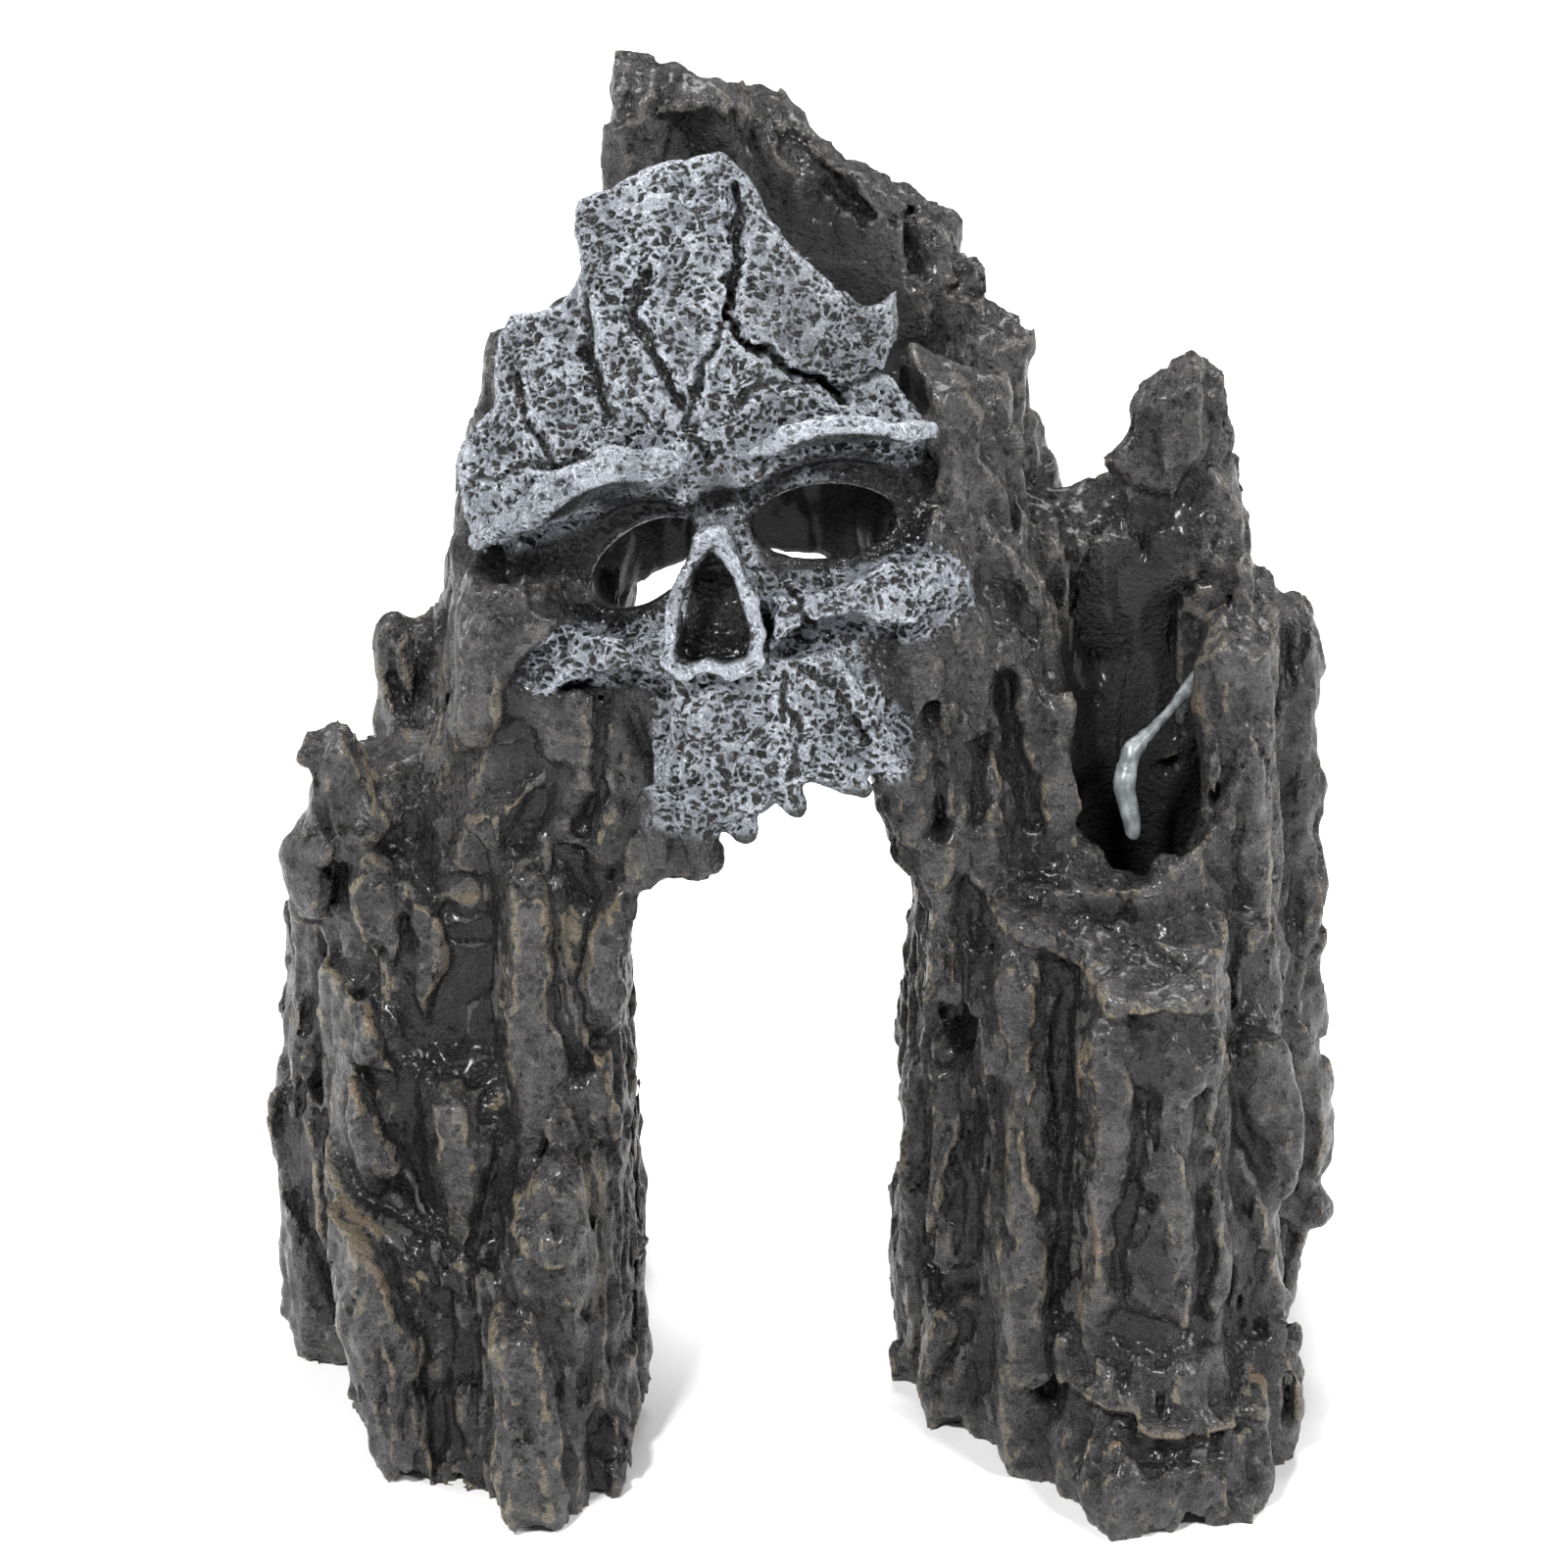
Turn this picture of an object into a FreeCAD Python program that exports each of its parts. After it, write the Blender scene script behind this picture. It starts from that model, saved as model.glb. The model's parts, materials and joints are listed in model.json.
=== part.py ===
"""Aquarium cave ornament: a hollow resin rock pile on two legs with an arch between them and a
skull mask over the arch. Millimetres, +Z up, +X to the right and -Y to the front, with the
origin in the middle of the base on the plane that both legs stand on."""

import FreeCAD, Part
import math
import os

from FreeCAD import Placement, Rotation, Vector

doc = FreeCAD.newDocument("cave_ornament")
sheet = doc.addObject("Spreadsheet::Sheet", "Sizes")
X_AXIS, Y_AXIS, Z_AXIS = Vector(1, 0, 0), Vector(0, 1, 0), Vector(0, 0, 1)
CORNER_SHARE = 0.28  # a rock's corner chamfer as a share of its smaller head side
CUTTER_SIDE = 160.0  # longer than the ornament, so a cutter always passes right through
LEAST_SOLID = 30.0  # mm3: smaller crumbs left by trimming are dropped
RISING_SHARE = 0.5  # an edge that climbs more than this share of a block joins its foot to its head

# How unevenly a block's four rising corners are broken, as shares of its corner chamfer.
CORNER_CUTS = [(1.0, 0.62), (0.7, 1.05), (1.1, 0.8), (0.66, 1.0)]

# Driving dimensions that more than one piece uses.
SHARED = {
    "front_run": 70.0,
    "rear_run": 45.0,
    "eye_reach": 26.0,
    "eye_lead": 6.0,
}

# Each rock is a leaning, tapered column with chamfered corners and a sloping broken top.
# foot: middle of its foot (x, y, z). size: width, depth, height. lean: how far the head's middle
# stands from the foot's (x, y). head: head size over foot size. turn: degrees about Z.
# slope: degrees that the top falls towards +X and towards the front.
# A rock is trimmed to fit against every rock before it in this list.
ROCKS = [
    ("left_leg_core", (-35, 2, 0), (31, 50, 64), (3, -2), 0.80, 0, (0, 0)),
    ("right_leg_core", (32, 2, 0), (36, 48, 62), (0, -1), 0.85, 0, (0, 0)),
    ("left_arch_haunch", (-26, -10, 58), (32, 22, 40), (4, 0), 0.80, -5, (0, 0)),
    ("right_arch_haunch", (16, -14, 52), (18, 20, 42), (-2, 4), 0.80, 8, (0, 0)),
    ("left_flank", (-35.2, 5, 56), (20, 28, 64), (8, 2), 0.60, 0, (-20, 0)),
    ("right_flank", (22, -9, 58), (22, 22, 63), (-6, 4), 0.48, 12, (18, 8)),
    ("rear_left_wall", (-27, 24, 58), (24, 17, 66), (8, -4), 0.70, 6, (-15, -15)),
    ("rear_right_wall", (20, 22, 62), (26, 17, 52), (-4, -4), 0.75, -6, (20, -15)),
    ("rear_crown_rock", (-4, 25, 82), (30, 14, 46), (1, -4), 0.80, 0, (12, -10)),
    ("right_saddle_rock", (26, 7, 50), (20, 17, 52), (-2, 0), 0.85, 0, (4, 14)),
    ("right_well_rim", (33, -18, 42), (17, 10, 25), (0, 1), 0.92, 0, (3, -8)),
    ("rear_peak", (-13.2, 20, 98), (19, 14, 48), (-1, -3), 0.76, 8, (14, 12)),
    ("rear_ridge_rock", (2, 22, 94), (28, 10, 48), (3.5, 0), 0.92, -6, (34, 0)),
    ("rear_upper_knob", (19.5, 14, 84), (11, 13, 34.5), (1, -1), 0.66, 20, (-12, 12)),
    ("rear_lower_knob", (24, 15, 74), (11, 12, 31.2), (0, 0), 0.70, -14, (12, 10)),
    ("right_spire", (38.6, 8, 46), (26, 14, 69), (1.6, -1), 0.40, -6, (-12, 14)),
    ("right_spire_shoulder", (37, 8, 58), (23, 13, 47), (0.3, -1), 0.84, -4, (-20, 12)),
    ("right_upper_column", (45.5, -12, 40), (13, 13, 52), (-1, 4), 0.72, -10, (4, 14)),
    ("right_far_column", (51.5, 4, 40), (10, 17, 50), (0, 1), 0.76, 6, (16, 4)),
    ("right_shard", (40, -20, 46), (9, 8, 33), (-0.5, 4), 0.52, 12, (0, 16)),
    ("right_middle_block", (49, 4, 24), (10, 20, 32), (2.6, 0), 0.94, 8, (-8, 10)),
    ("right_ledge_column", (36.5, -26, 0), (18, 21, 66), (0, 1), 0.90, -6, (4, 20)),
    ("right_ridge_column", (24.5, -22.5, 0), (9.5, 13, 67), (-2, 0), 0.84, 10, (10, 12)),
    ("right_inner_front", (18, -12, 0), (10, 13, 47), (-0.5, -2), 0.70, -12, (-12, 18)),
    ("right_inner_column", (12.6, 3, 0), (10, 19, 57), (1.6, -6), 0.92, 3, (8, 10)),
    ("right_outer_column", (46.5, -17, 0), (13, 20, 55), (0, 3), 0.80, 14, (12, 16)),
    ("right_front_foot", (39.2, -33.6, 0), (23, 15, 15.5), (0.6, 2), 0.94, 12, (-3, 14)),
    ("right_outer_rear", (49.9, 14, 0), (11, 27, 28), (2.8, 0), 0.98, -4, (-14, 0)),
    ("right_back_inner", (23, 31, 0), (19, 18, 76), (-1, -6), 0.70, 9, (0, -18)),
    ("right_back_outer", (44, 27, 0), (17, 21, 60), (-1, -5), 0.70, -12, (6, -22)),
    ("right_back_low", (35, 36, 0), (13, 11.5, 27), (0, -2), 0.76, -14, (0, -15)),
    ("left_ear_rock", (-40.2, 4, 52), (12, 15, 35.6), (-1, 2), 0.56, 16, (-8, 14)),
    ("left_tall_column", (-43.5, -14, 16), (14, 15, 62), (-4, 7), 0.80, -12, (-8, 16)),
    ("left_spike", (-42.5, -21, 12), (12, 12, 57), (-2, 5), 0.46, 10, (-12, 22)),
    ("left_inner_column", (-27, -24, 6), (10.5, 11, 64), (-0.5, 3), 0.72, 10, (0, 24)),
    ("left_arch_slab", (-21, -17, 4), (8, 19, 64), (0, 1), 0.82, 0, (-14, 10)),
    ("left_outer_block", (-51, 4, 18), (12, 19, 44), (-0.5, 0), 0.84, 6, (-26, 10)),
    ("left_outer_rear", (-50.4, 9, 0), (13, 25, 36), (-1.9, -2), 0.90, -5, (-12, 0)),
    ("left_groove_column", (-36, -25.5, 0), (10, 12, 48), (-0.5, 3), 0.84, -10, (0, 22)),
    ("left_front_column", (-43, -24, 0), (9.5, 14, 34.5), (-2.8, 1), 1.14, 12, (26, 14)),
    ("left_stub_column", (-25.5, -30, 0), (9.5, 12, 38), (-0.5, 1), 0.86, -8, (0, 32)),
    ("left_low_column", (-28.8, -37.3, 0), (9.4, 9.6, 24.5), (-0.8, 1), 0.84, 6, (0, 16)),
    ("left_toe", (-21.6, -23, 0), (7.6, 20, 17), (0, 1), 0.78, 0, (16, 12)),
    ("left_inner_rear", (-22.5, 6, 0), (9.4, 44, 54), (0, 0), 0.88, 0, (-10, 0)),
    ("left_back_inner", (-28, 31, 0), (17, 18, 70), (1, -6), 0.70, -8, (0, -20)),
    ("left_back_outer", (-43, 27, 0), (16, 19, 52), (1, -4), 0.72, 12, (-8, -25)),
    ("left_back_low", (-36, 36.1, 0), (12, 11.7, 24), (0, -1), 0.76, 16, (0, -15)),
]

# The mask is one casting, so its lumps are fused. Same columns as ROCKS.
MASK_LUMPS = [
    ("forehead", (-9, -13, 104), (36, 13, 38), (-4, 5), 0.52, -6, (4, 14)),
    ("left_temple", (-26.8, -13, 98), (21, 14, 29), (-0.4, 4), 0.60, -16, (-14, 14)),
    ("right_temple", (6, -11, 104), (15, 12, 24), (-1, 4), 0.60, 14, (12, 14)),
    ("left_brow", (-22.5, -18, 103), (30, 13, 9), (0, 1), 0.86, -14, (-20, 0)),
    ("right_brow", (2.5, -17.5, 109), (23, 12, 7), (0, 1), 0.84, 8, (2, 0)),
    ("nose_bone", (-9, -21.5, 88), (13, 13, 27), (-0.5, 4), 0.50, -4, (0, 26)),
    ("left_cheek", (-21, -19.5, 87), (22, 11, 11), (1, 1), 0.74, -10, (-12, 10)),
    ("right_cheek", (4, -17.5, 91), (27, 12, 10), (2, 1), 0.80, 16, (-10, 10)),
    ("upper_jaw", (-7.5, -22, 76.5), (18, 14, 17.5), (-0.5, 1), 0.96, -2, (0, 0)),
    ("chin_shard", (-10.5, -25, 70), (7, 8, 12), (1.5, 0), 1.20, 8, (0, 0)),
    ("right_jaw", (4, -19, 80.5), (15, 13, 16.5), (0, 1), 0.90, 14, (0, 0)),
]

# Free spaces, cut out of every rock. Same columns as ROCKS.
HOLLOWS = [
    ("chamber", (-6, 4, 58), (34, 38, 82), (-1, 2), 0.50, 0, (0, 0)),
    ("well", (35, -6, 24), (15, 16, 72), (0, 1), 0.94, 8, (0, 0)),
    ("well_mouth", (35, -13, 69), (13, 16, 30), (-1, 4), 1.05, 8, (0, 0)),
]

# The passage between the legs, seen from the front: each point is (x, z). The rear run has a
# higher crown than the front one. A run starts at its Y and goes back by its cell's length.
ARCHES = {
    "front_arch": {
        "left_foot": (-16.8, -2),
        "left_spring": (-18.8, 55),
        "left_haunch": (-14.4, 69.4),
        "crown": (-1, 80),
        "right_haunch": (8.2, 75),
        "right_spring": (12.1, 60),
        "right_foot": (9.2, -2),
    },
    "rear_arch": {
        "left_foot": (-17.2, -2),
        "left_spring": (-19.8, 60),
        "left_haunch": (-16, 80.5),
        "crown": (-4, 89),
        "right_haunch": (7.6, 82.5),
        "right_spring": (12.4, 62),
        "right_foot": (9.6, -2),
    },
}
ARCH_RUNS = {"front_arch": (-60.0, "front_run"), "rear_arch": (8.0, "rear_run")}

# Eye holes: middle of the mouth (x, y, z), half length, half height, roll and swing in degrees.
EYES = [
    ("left_eye", (-16.2, -24, 101.5), 6.6, 4.4, 24, 12),
    ("right_eye", (2.2, -22, 106.2), 7.2, 3.8, -4, -10),
]
NASAL_POCKET = ((-9.2, -27, 92), (8, 7, 13), (-0.6, 1), 0.5, -4, (0, 0))

# Hardened adhesive in the right leg's well: middle of each ball (x, y, z) and its radius.
ADHESIVE_BEAD = [
    ((42.5, -3.0, 82.5), 1.5),
    ((38.5, -6.5, 80.0), 1.1),
    ((34.6, -9.0, 77.4), 1.3),
    ((33.6, -10.0, 73.6), 1.6),
    ((34.4, -11.2, 68.6), 1.3),
]


def add_cells(values):
    """Writes alias and plain number into the next rows of the sheet."""
    for alias, value in values.items():
        add_cells.row += 1
        sheet.set(f"A{add_cells.row}", alias)
        sheet.set(f"B{add_cells.row}", f"{float(value):g}")
        sheet.setAlias(f"B{add_cells.row}", alias)


add_cells.row = 0


def bind(feature, **expressions):
    """Binds properties of a feature to expressions over the sheet's aliases."""
    for name, expression in expressions.items():
        feature.setExpression(name, expression)


def add_rock_cells(name, foot, size, lean, head):
    """The cells that one rock's features are bound to."""
    add_cells(
        {
            f"{name}_at_x": foot[0],
            f"{name}_at_y": foot[1],
            f"{name}_at_z": foot[2],
            f"{name}_width": size[0],
            f"{name}_depth": size[1],
            f"{name}_height": size[2],
            f"{name}_lean_x": lean[0],
            f"{name}_lean_y": lean[1],
            f"{name}_head": head,
        }
    )


def place(feature, name, rotation, rise="0"):
    """Puts a feature at its rock's foot, raised by an expression."""
    feature.Placement = Placement(Vector(0, 0, 0), rotation)
    bind(
        feature,
        **{
            "Placement.Base.x": f"Sizes.{name}_at_x",
            "Placement.Base.y": f"Sizes.{name}_at_y",
            "Placement.Base.z": f"Sizes.{name}_at_z + {rise}",
        },
    )


def add_column(name, turn):
    """The leaning, tapered block of a rock. A Part::Wedge rises along its own Y, so it is tipped up."""
    wedge = doc.addObject("Part::Wedge", name + "_block")
    width, depth, head = f"Sizes.{name}_width / 2", f"Sizes.{name}_depth / 2", f"Sizes.{name}_head"
    lean_x, lean_y = f"Sizes.{name}_lean_x", f"Sizes.{name}_lean_y"
    bind(
        wedge,
        Xmin=f"-{width}",
        Xmax=width,
        Zmin=f"-{depth}",
        Zmax=depth,
        X2min=f"{lean_x} - {width} * {head}",
        X2max=f"{lean_x} + {width} * {head}",
        Z2min=f"-{lean_y} - {depth} * {head}",
        Z2max=f"-{lean_y} + {depth} * {head}",
        Ymin="0",
        Ymax=f"Sizes.{name}_height",
    )
    place(wedge, name, Rotation(Z_AXIS, turn) * Rotation(X_AXIS, 90))
    return wedge


def rising_edges(shape):
    """Numbers of the edges that join a block's foot to its head."""
    found = []
    for number, edge in enumerate(shape.Edges, 1):
        ends = [v.Point.z for v in edge.Vertexes]
        if abs(ends[0] - ends[1]) > RISING_SHARE * shape.BoundBox.ZLength:
            found.append(number)
    return found


def add_chamfer(name, wedge, corner):
    """Breaks the block's four rising corners, each by a different pair of distances."""
    chamfer = doc.addObject("Part::Chamfer", name + "_corners")
    chamfer.Base = wedge
    chamfer.Edges = [
        (number, corner * first, corner * second)
        for number, (first, second) in zip(rising_edges(wedge.Shape), CORNER_CUTS)
    ]
    return chamfer


def add_top_cut(name, base, size, head, turn, slope):
    """Cuts the top off along a sloping plane whose highest point is the rock's height."""
    fall = [math.tan(math.radians(abs(angle))) for angle in slope]
    drop = head * (fall[0] * size[0] + fall[1] * size[1]) / 2
    cutter = doc.addObject("Part::Box", name + "_top_cutter")
    cutter.Length = cutter.Width = cutter.Height = CUTTER_SIDE
    tilt = Rotation(Z_AXIS, turn) * Rotation(Y_AXIS, slope[0]) * Rotation(X_AXIS, slope[1])
    corner = tilt.multVec(Vector(-CUTTER_SIDE / 2, -CUTTER_SIDE / 2, 0))
    swing = Rotation(Z_AXIS, turn).multVec(Vector(1, 0, 0))
    cutter.Placement = Placement(Vector(0, 0, 0), tilt)
    lean_x, lean_y = f"Sizes.{name}_lean_x", f"Sizes.{name}_lean_y"
    bind(
        cutter,
        **{
            "Placement.Base.x": f"Sizes.{name}_at_x + {lean_x} * {swing.x:.6f}"
            f" - {lean_y} * {swing.y:.6f} + {corner.x:.4f}",
            "Placement.Base.y": f"Sizes.{name}_at_y + {lean_x} * {swing.y:.6f}"
            f" + {lean_y} * {swing.x:.6f} + {corner.y:.4f}",
            "Placement.Base.z": f"Sizes.{name}_at_z + Sizes.{name}_height"
            f" + {corner.z - drop:.4f}",
        },
    )
    cut = doc.addObject("Part::Cut", name + "_shape")
    cut.Base = base
    cut.Tool = cutter
    return cut


def add_rock(name, foot, size, lean, head, turn, slope):
    """One rock before trimming: block, broken corners, broken top."""
    add_rock_cells(name, foot, size, lean, head)
    sheet.recompute()
    wedge = add_column(name, turn)
    wedge.recompute()
    corner = CORNER_SHARE * min(size[0], size[1]) * min(head, 1.0)
    chamfer = add_chamfer(name, wedge, corner)
    if slope == (0, 0):
        return chamfer
    return add_top_cut(name, chamfer, size, head, turn, slope)


def add_arch(name, profile):
    """The arch's free space: slanting sides under two arcs, running back along Y."""
    start, length_cell = ARCH_RUNS[name]
    body = doc.addObject("PartDesign::Body", name)
    sketch = body.newObject("Sketcher::SketchObject", name + "_profile")
    planes = {feature.Role: feature for feature in body.Origin.OriginFeatures}
    sketch.AttachmentSupport = (planes["XZ_Plane"], "")
    sketch.MapMode = "FlatFace"
    sketch.AttachmentOffset = Placement(Vector(0, 0, -start), Rotation())
    at = {part: Vector(x, z, 0) for part, (x, z) in profile.items()}
    outline = [
        Part.LineSegment(at["left_foot"], at["left_spring"]),
        Part.Arc(at["left_spring"], at["left_haunch"], at["crown"]),
        Part.Arc(at["crown"], at["right_haunch"], at["right_spring"]),
        Part.LineSegment(at["right_spring"], at["right_foot"]),
        Part.LineSegment(at["right_foot"], at["left_foot"]),
    ]
    sketch.addGeometry(outline, False)
    doc.recompute()
    pad = body.newObject("PartDesign::Pad", name + "_run")
    pad.Profile = sketch
    pad.Reversed = True
    pad.setExpression("Length", f"Sizes.{length_cell}")
    doc.recompute()
    return body


def add_eye(name, mouth, half_length, half_height, roll, swing):
    """One eye hole: an ellipse run back through the mask into the chamber."""
    add_cells({f"{name}_half_length": half_length, f"{name}_half_height": half_height})
    outline = doc.addObject("Part::Ellipse", name + "_outline")
    bind(
        outline,
        MajorRadius=f"Sizes.{name}_half_length",
        MinorRadius=f"Sizes.{name}_half_height",
    )
    turned = Rotation(Z_AXIS, swing) * Rotation(X_AXIS, 90) * Rotation(Z_AXIS, roll)
    outline.Placement = Placement(Vector(*mouth), turned)
    hole = doc.addObject("Part::Extrusion", name + "_hole")
    hole.Base = outline
    hole.DirMode = "Custom"
    hole.Dir = Rotation(Z_AXIS, swing).multVec(Y_AXIS)
    hole.Solid = True
    bind(hole, LengthFwd="Sizes.eye_reach", LengthRev="Sizes.eye_lead")
    return hole


def add_bead():
    """The adhesive run: a ball at each point and a cone between each pair, fused."""
    solids = []
    for point, radius in ADHESIVE_BEAD:
        solids.append(Part.makeSphere(radius, Vector(*point)))
    for (start, first), (end, second) in zip(ADHESIVE_BEAD, ADHESIVE_BEAD[1:]):
        along = Vector(*end) - Vector(*start)
        solids.append(Part.makeCone(first, second, along.Length, Vector(*start), along))
    return solids[0].fuse(solids[1:]).removeSplitter()


def near(first, second):
    """Whether two shapes' boxes meet."""
    return first.BoundBox.intersect(second.BoundBox)


def trimmed(shape, tools):
    """shape less the tools that reach it, without the crumbs."""
    reach = [tool for tool in tools if near(shape, tool)]
    left = shape.cut(reach) if reach else shape
    solids = [solid for solid in left.Solids if solid.Volume > LEAST_SOLID]
    solids.sort(key=lambda solid: solid.Volume, reverse=True)
    return solids[0]


def add_node(name, shape):
    """A finished sub-part, whose Label names its file."""
    node = doc.addObject("Part::Feature", name)
    node.Label = name
    node.Shape = shape
    node.Placement = Placement()
    return node


def check_document():
    """Stops if any object failed to recompute."""
    failed = [o.Name for o in doc.Objects if "Invalid" in o.State or "Error" in o.State]
    if failed:
        raise RuntimeError(f"these objects failed: {failed}")


def main():
    add_cells(SHARED)
    rocks = {row[0]: add_rock(*row) for row in ROCKS}
    lumps = [add_rock("mask_" + row[0], *row[1:]) for row in MASK_LUMPS]
    hollows = [add_rock("hollow_" + row[0], *row[1:]) for row in HOLLOWS]
    hollows += [add_arch(name, profile) for name, profile in ARCHES.items()]
    eyes = [add_eye(*row) for row in EYES]
    pocket = add_rock("nasal_pocket", *NASAL_POCKET)
    mask = doc.addObject("Part::MultiFuse", "mask_lumps_fused")
    mask.Shapes = lumps
    doc.recompute()
    check_document()

    chamber = hollows[0].Shape
    eye_shapes = [eye.Shape for eye in eyes]
    mask_shape = trimmed(mask.Shape, [chamber, pocket.Shape, *eye_shapes])
    nodes = [add_node("skull_mask", mask_shape)]
    taken = [mask.Shape, *eye_shapes, *(hollow.Shape for hollow in hollows)]
    for name, rock in rocks.items():
        nodes.append(add_node(name, trimmed(rock.Shape, taken)))
        taken.append(rock.Shape)
    walls = [node.Shape for node in nodes]
    nodes.append(add_node("adhesive_bead", trimmed(add_bead(), walls)))

    doc.recompute()
    check_document()
    whole = FreeCAD.BoundBox()
    os.makedirs("parts", exist_ok=True)
    for node in nodes:
        shape = node.Shape
        if shape.isNull() or not shape.isValid() or shape.Volume <= 0:
            raise RuntimeError(f"{node.Label} isn't a valid solid")
        whole.add(shape.BoundBox)
        shape.exportStep(f"parts/{node.Label}.step")
    print(f"{len(nodes)} sub-parts, {sum(n.Shape.Volume for n in nodes) / 1000:.0f} cm3")
    print(f"X {whole.XMin:.1f} to {whole.XMax:.1f}, Y {whole.YMin:.1f} to {whole.YMax:.1f},", end="")
    print(f" Z {whole.ZMin:.1f} to {whole.ZMax:.1f}")


main()
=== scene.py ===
"""Looks of the aquarium cave ornament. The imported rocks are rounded, bent and melted into one
distance field, which is roughened like cast rock and divided again into one closed piece per
CAD node. The skull mask is built in its own tilted frame. Lengths in mm unless said."""

import json
import math
from concurrent.futures import ThreadPoolExecutor
from functools import lru_cache

import bpy
import numpy as np
import openvdb as vdb
from mathutils import Matrix, Vector


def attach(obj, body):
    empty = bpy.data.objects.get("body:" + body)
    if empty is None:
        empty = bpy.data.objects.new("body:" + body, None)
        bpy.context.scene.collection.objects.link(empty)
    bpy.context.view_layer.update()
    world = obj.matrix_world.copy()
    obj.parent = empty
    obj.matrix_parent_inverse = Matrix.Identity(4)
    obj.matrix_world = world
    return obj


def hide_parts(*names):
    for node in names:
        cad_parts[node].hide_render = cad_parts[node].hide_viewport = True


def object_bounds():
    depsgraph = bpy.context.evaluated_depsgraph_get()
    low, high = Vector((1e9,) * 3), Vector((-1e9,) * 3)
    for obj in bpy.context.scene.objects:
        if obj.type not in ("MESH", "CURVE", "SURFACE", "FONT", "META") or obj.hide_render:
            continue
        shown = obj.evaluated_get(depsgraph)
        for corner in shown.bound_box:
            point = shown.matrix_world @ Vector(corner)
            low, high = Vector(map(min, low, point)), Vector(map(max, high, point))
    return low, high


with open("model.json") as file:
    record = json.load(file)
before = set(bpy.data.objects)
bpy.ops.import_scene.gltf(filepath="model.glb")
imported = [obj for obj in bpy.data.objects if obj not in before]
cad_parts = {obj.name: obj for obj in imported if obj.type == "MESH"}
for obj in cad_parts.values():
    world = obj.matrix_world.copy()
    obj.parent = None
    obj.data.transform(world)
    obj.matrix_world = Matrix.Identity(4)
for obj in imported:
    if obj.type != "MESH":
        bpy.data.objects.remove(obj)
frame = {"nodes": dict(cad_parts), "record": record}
CAD_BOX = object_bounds()

MM = 0.001
VOXEL = 0.5
ROUNDING = 0.8  # spacing at which a CAD rock is remeshed, which rounds its corners
BAND = 4.0  # distances are kept this far from a surface
MELT = 1.6  # how softly neighbouring rocks run into each other
FILL = 2.2  # gaps between rocks narrower than twice this are filled
LAP = 0.8  # how far a piece reaches in under its neighbours
RELIEF_REACH = 3.8
SWELL = 0.8  # the rocks swell by this before their relief is cut in

# The skull mask's own frame: u to its right, v up its brow, w out of its face.
FACE_ORIGIN = np.array([-8.0, -22.0, 104.0])
FACE_U = np.array([0.975, 0.001, 0.222])
FACE_V = np.array([-0.209, 0.339, 0.917])
FACE_W = np.array([-0.075, -0.941, 0.331])


# ---------------------------------------------------------------- fields on an even lattice


class Window:
    """A box of lattice points, VOXEL apart, kept as whole-number indexes from the origin."""

    def __init__(self, low, high):
        self.first = np.floor(np.array(low) / VOXEL).astype(int)
        self.shape = tuple(np.ceil(np.array(high) / VOXEL).astype(int) - self.first + 1)

    def within(self, outer):
        """This window's slices in an outer window's array."""
        start = self.first - outer.first
        return tuple(slice(s, s + n) for s, n in zip(start, self.shape))

    def clipped(self, outer):
        """The part of this window that lies in an outer one."""
        low = np.maximum(self.first, outer.first)
        high = np.minimum(self.first + self.shape, outer.first + outer.shape) - 1
        return Window((low + 0.5) * VOXEL, (high - 0.5) * VOXEL)

    def points(self, flat):
        """Where the lattice points with these flat indexes are."""
        index = np.stack(np.unravel_index(flat, self.shape), 1) + self.first
        return (index * VOXEL).astype(np.float32)

    def sample(self, values, points):
        """Values between the lattice points, by straight interpolation."""
        at = points / VOXEL - self.first
        base = np.clip(np.floor(at).astype(int), 0, np.array(self.shape) - 2)
        share = np.clip(at - base, 0, 1).astype(np.float32)
        flat = np.ravel_multi_index(base.T, self.shape)
        step = (self.shape[1] * self.shape[2], self.shape[2], 1)
        values = values.ravel()
        total = 0
        for corner in range(8):
            bits = [(corner >> axis) & 1 for axis in range(3)]
            weight = np.prod([share[:, a] if b else 1 - share[:, a] for a, b in enumerate(bits)], 0)
            total = total + weight * values[flat + sum(s for s, b in zip(step, bits) if b)]
        return total


def level_set(points, faces, step):
    """The signed distance to a closed surface, as an OpenVDB grid."""
    corners = {3: "triangles", 4: "quads"}[faces.shape[1]]
    return vdb.FloatGrid.createLevelSetFromPolygons(
        np.ascontiguousarray(points, np.float32),
        **{corners: np.ascontiguousarray(faces, np.uint32)},
        transform=vdb.createLinearTransform(voxelSize=step),
        halfWidth=BAND / step,
    )


def as_array(grid, window):
    """An OpenVDB grid's values in a window."""
    values = np.empty(window.shape, np.float32)
    grid.copyToArray(values, ijk=tuple(int(i) for i in window.first))
    return values


def surface_of(values, window):
    """Points and four-cornered faces of the surface where the values pass zero."""
    grid = vdb.FloatGrid(BAND)
    grid.copyFromArray(np.clip(values, -BAND, BAND), ijk=tuple(int(i) for i in window.first))
    grid.transform = vdb.createLinearTransform(voxelSize=VOXEL)
    points, quads = grid.convertToQuads(0)
    return points.astype(np.float64), quads.astype(np.int64)


def smooth_min(first, second, reach):
    """The smaller of two distances, blended where they are within reach of each other."""
    overlap = np.maximum(reach - np.abs(first - second), 0)
    return np.minimum(first, second) - overlap * overlap / (4 * reach)


def smooth_max(first, second, reach):
    """The larger of two distances, blended where they are within reach of each other."""
    return -smooth_min(-first, -second, reach)


def smooth_step(low, high, values):
    """0 below low, 1 above high and an S curve between."""
    share = np.clip((values - low) / (high - low), 0, 1)
    return share * share * (3 - 2 * share)


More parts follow.
